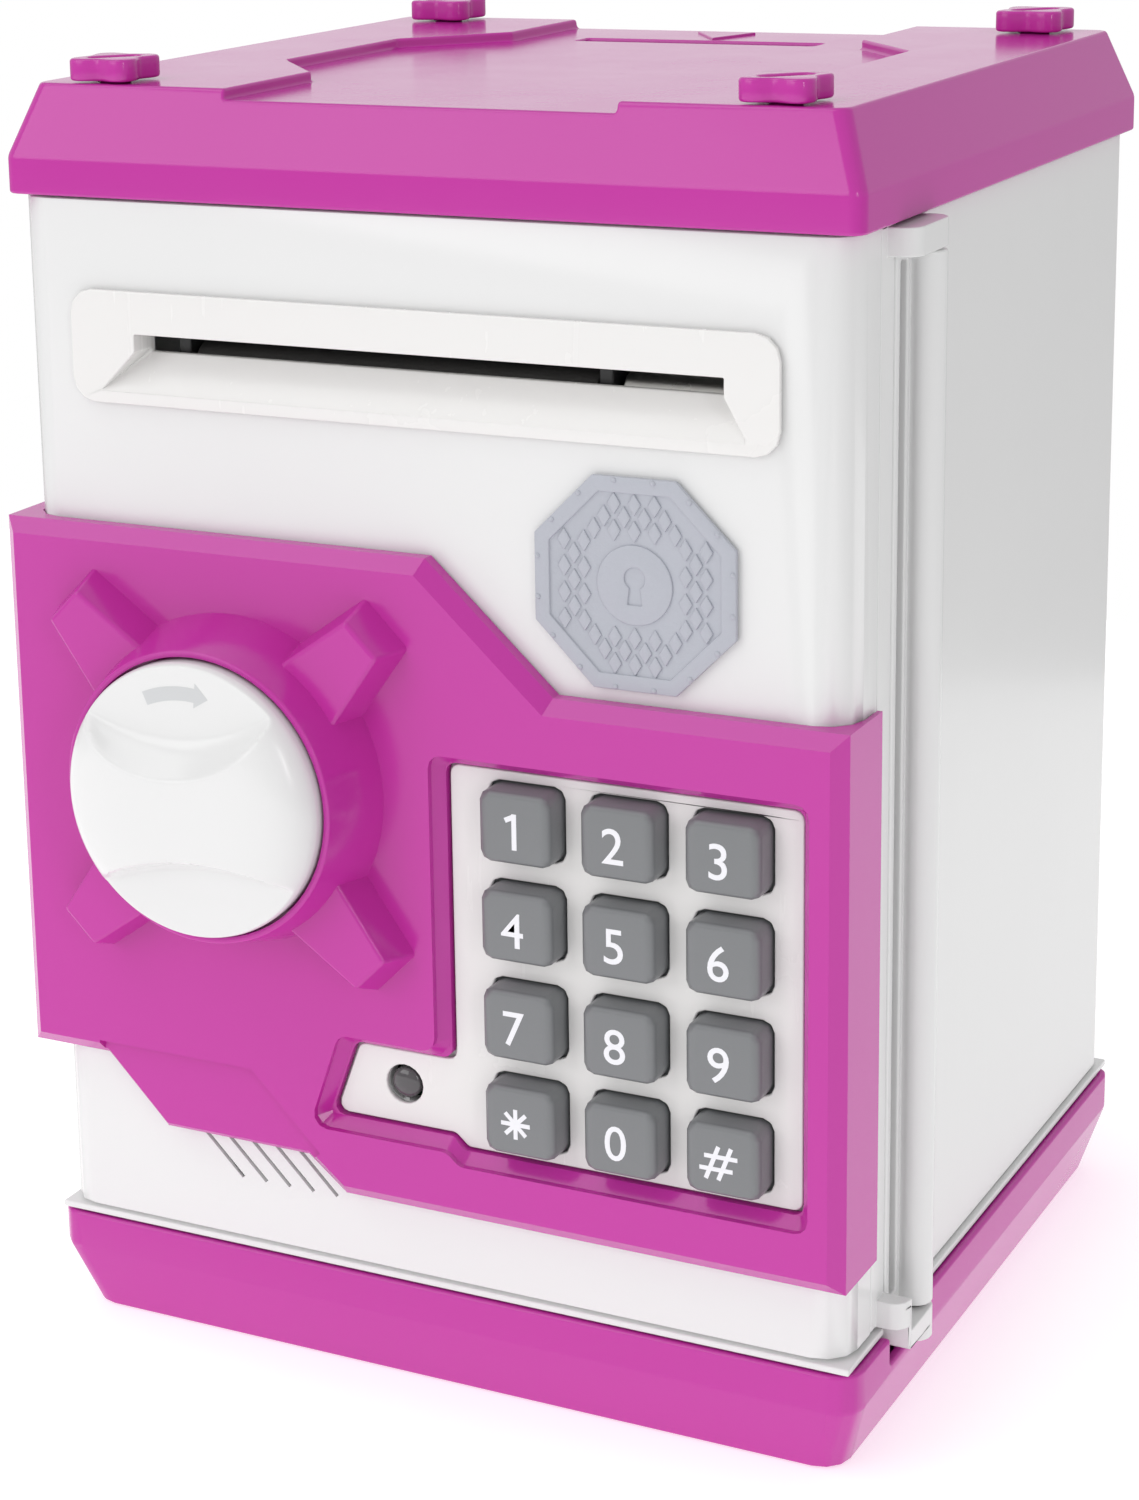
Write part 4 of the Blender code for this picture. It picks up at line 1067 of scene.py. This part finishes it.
slotMarkStyle = {
    "outline": [(-6.0, 52.0), (4.0, 52.0), (1.0, 41.5)],
    # the point above the cap from which its surface is found
    "above": (0, 48.0, 300.0),
    "sunk": 0.3,
    "raised": 0.35,
    "edge": 0.15,
    "edgeAngle": 40.0,
}


def makeSlotMark():
    style = slotMarkStyle
    bpy.context.view_layer.update()
    above = Vector(style["above"]) * mm
    seat = bpy.data.objects["topCap"].ray_cast(above, Vector((0, 0, -1)))[1]
    level = seat.z / mm
    mark = prismObject("slotMark", style["outline"], level - style["sunk"], level + style["raised"])
    mark = bake(roundEdges(mark, style["edge"], style["edgeAngle"], 2), "slotMark")
    place(mark, "pink", bodyOf["top_cap"], slotOf["top_cap"])
    print("slot mark done at", round(level, 2))


makeSlotMark()


# carried-over nodes with better finishes

carriedOver = {
    "hinge_rod": "steel", "circuit_board": "board", "key_mat": "rubber", "speaker": "black",
    "contact_plate_left": "steel", "contact_plate_right": "steel", "battery_1": "cell", "battery_2": "cell",
    "battery_3": "cell", "battery_cover_screw": "steel",
}
for node, finish in carriedOver.items():
    setFinish(frame["nodes"][node], finish)


# studio

studio = {
    # the room's light above and below the horizon, and the heights between which it changes
    "worldLight": 0.64,
    "worldLow": 0.5,
    "horizon": (-0.1, 0.05),
    "floorSize": 0.7,
    "floorMiddle": (-0.15, -0.3),
    "floorGlow": 0.55,
    "floorShade": 0.75,
    "floorRoughness": 0.9,
    "floorGloss": 0.1,
    "floorDrop": 0.0002,
    "aim": (0.0, 0.0, 0.09),
    "softboxes": {
        "keySoftbox": {"power": 6.0, "size": (1.2, 0.9), "place": (-0.9, -1.5, 0.8)},
        "rightSoftbox": {"power": 1.3, "size": (0.14, 0.5), "place": (0.95, -0.9, 0.5)},
        "backPanel": {"power": 2.0, "size": (2.0, 1.2), "place": (-1.2, 1.75, 0.6)},
        "topSoftbox": {"power": 2.3, "size": (0.7, 0.7), "place": (-0.45, -0.4, 1.1)},
    },
}

view = {
    "place": (206.13, -439.38, 231.50),
    "azimuth": 28.15,
    "elevation": 14.12,
    "roll": -1.37,
    "lens": 79.02,
    "sensor": 36.0,
    "shift": (0.0918, -0.1225),
}


def makeCamera():
    data = bpy.data.cameras.new("camera")
    camera = bpy.data.objects.new("camera", data)
    bpy.context.scene.collection.objects.link(camera)
    data.lens = view["lens"]
    data.sensor_width = view["sensor"]
    data.shift_x, data.shift_y = view["shift"]
    data.clip_start = 0.01
    azimuth, elevation, roll = (math.radians(view[key]) for key in ("azimuth", "elevation", "roll"))
    back = Vector((math.sin(azimuth) * math.cos(elevation), -math.cos(azimuth) * math.cos(elevation),
                   math.sin(elevation)))
    level = Vector((math.cos(azimuth), math.sin(azimuth), 0))
    upright = back.cross(level)
    right = level * math.cos(roll) + upright * math.sin(roll)
    up = upright * math.cos(roll) - level * math.sin(roll)
    turn = Matrix((right, up, back)).transposed().to_4x4()
    camera.matrix_world = Matrix.Translation(Vector(view["place"]) * mm) @ turn
    bpy.context.scene.camera = camera


def areaLight(name, energy, size, at, target):
    data = bpy.data.lights.new(name, "AREA")
    data.energy = energy
    data.shape = "RECTANGLE"
    data.size, data.size_y = size
    light = bpy.data.objects.new(name, data)
    light.location = at
    light.rotation_euler = (Vector(target) - Vector(at)).to_track_quat("-Z", "Y").to_euler()
    bpy.context.scene.collection.objects.link(light)


white = (1.0, 1.0, 1.0, 1.0)


def makeRoom():
    # an even room light, a little weaker from below, behind a plain white backdrop
    world = bpy.data.worlds.new("whiteRoom")
    world.use_nodes = True
    bpy.context.scene.world = world
    tree = world.node_tree
    lit = tree.nodes["Background"]
    lit.inputs["Color"].default_value = white
    apart = addNode(tree, "ShaderNodeSeparateXYZ")
    wire(tree, addNode(tree, "ShaderNodeTexCoord").outputs["Object"], apart.inputs[0])
    fade = addNode(tree, "ShaderNodeMapRange")
    fade.inputs["From Min"].default_value, fade.inputs["From Max"].default_value = studio["horizon"]
    fade.inputs["To Min"].default_value = studio["worldLow"]
    fade.inputs["To Max"].default_value = studio["worldLight"]
    wire(tree, apart.outputs["Z"], fade.inputs["Value"])
    wire(tree, fade.outputs["Result"], lit.inputs["Strength"])
    seen = addNode(tree, "ShaderNodeBackground")
    seen.inputs["Color"].default_value = white
    seen.inputs["Strength"].default_value = 1.0
    mix = addNode(tree, "ShaderNodeMixShader")
    wire(tree, addNode(tree, "ShaderNodeLightPath").outputs["Is Camera Ray"], mix.inputs[0])
    wire(tree, lit.outputs[0], mix.inputs[1])
    wire(tree, seen.outputs[0], mix.inputs[2])
    wire(tree, mix.outputs[0], tree.nodes["World Output"].inputs["Surface"])


def makeFloor():
    bm = bmesh.new()
    bmesh.ops.create_circle(bm, cap_ends=True, segments=96, radius=studio["floorSize"])
    floor = fromBmesh("studioFloor", bm, 1.0)
    floor.location = (*studio["floorMiddle"], -studio["floorDrop"])
    sheet = bpy.data.materials.new("paperSweep")
    sheet.use_nodes = True
    shader = sheet.node_tree.nodes["Principled BSDF"]
    shader.inputs["Base Color"].default_value = (studio["floorShade"],) * 3 + (1.0,)
    shader.inputs["Emission Color"].default_value = white
    shader.inputs["Emission Strength"].default_value = studio["floorGlow"]
    shader.inputs["Roughness"].default_value = studio["floorRoughness"]
    shader.inputs["Specular IOR Level"].default_value = studio["floorGloss"]
    floor.data.materials.append(sheet)


bpy.context.scene.view_settings.view_transform = "Standard"
makeCamera()
makeRoom()
for name, plan in studio["softboxes"].items():
    areaLight(name, plan["power"], plan["size"], plan["place"], studio["aim"])
makeFloor()
print("studio ready")
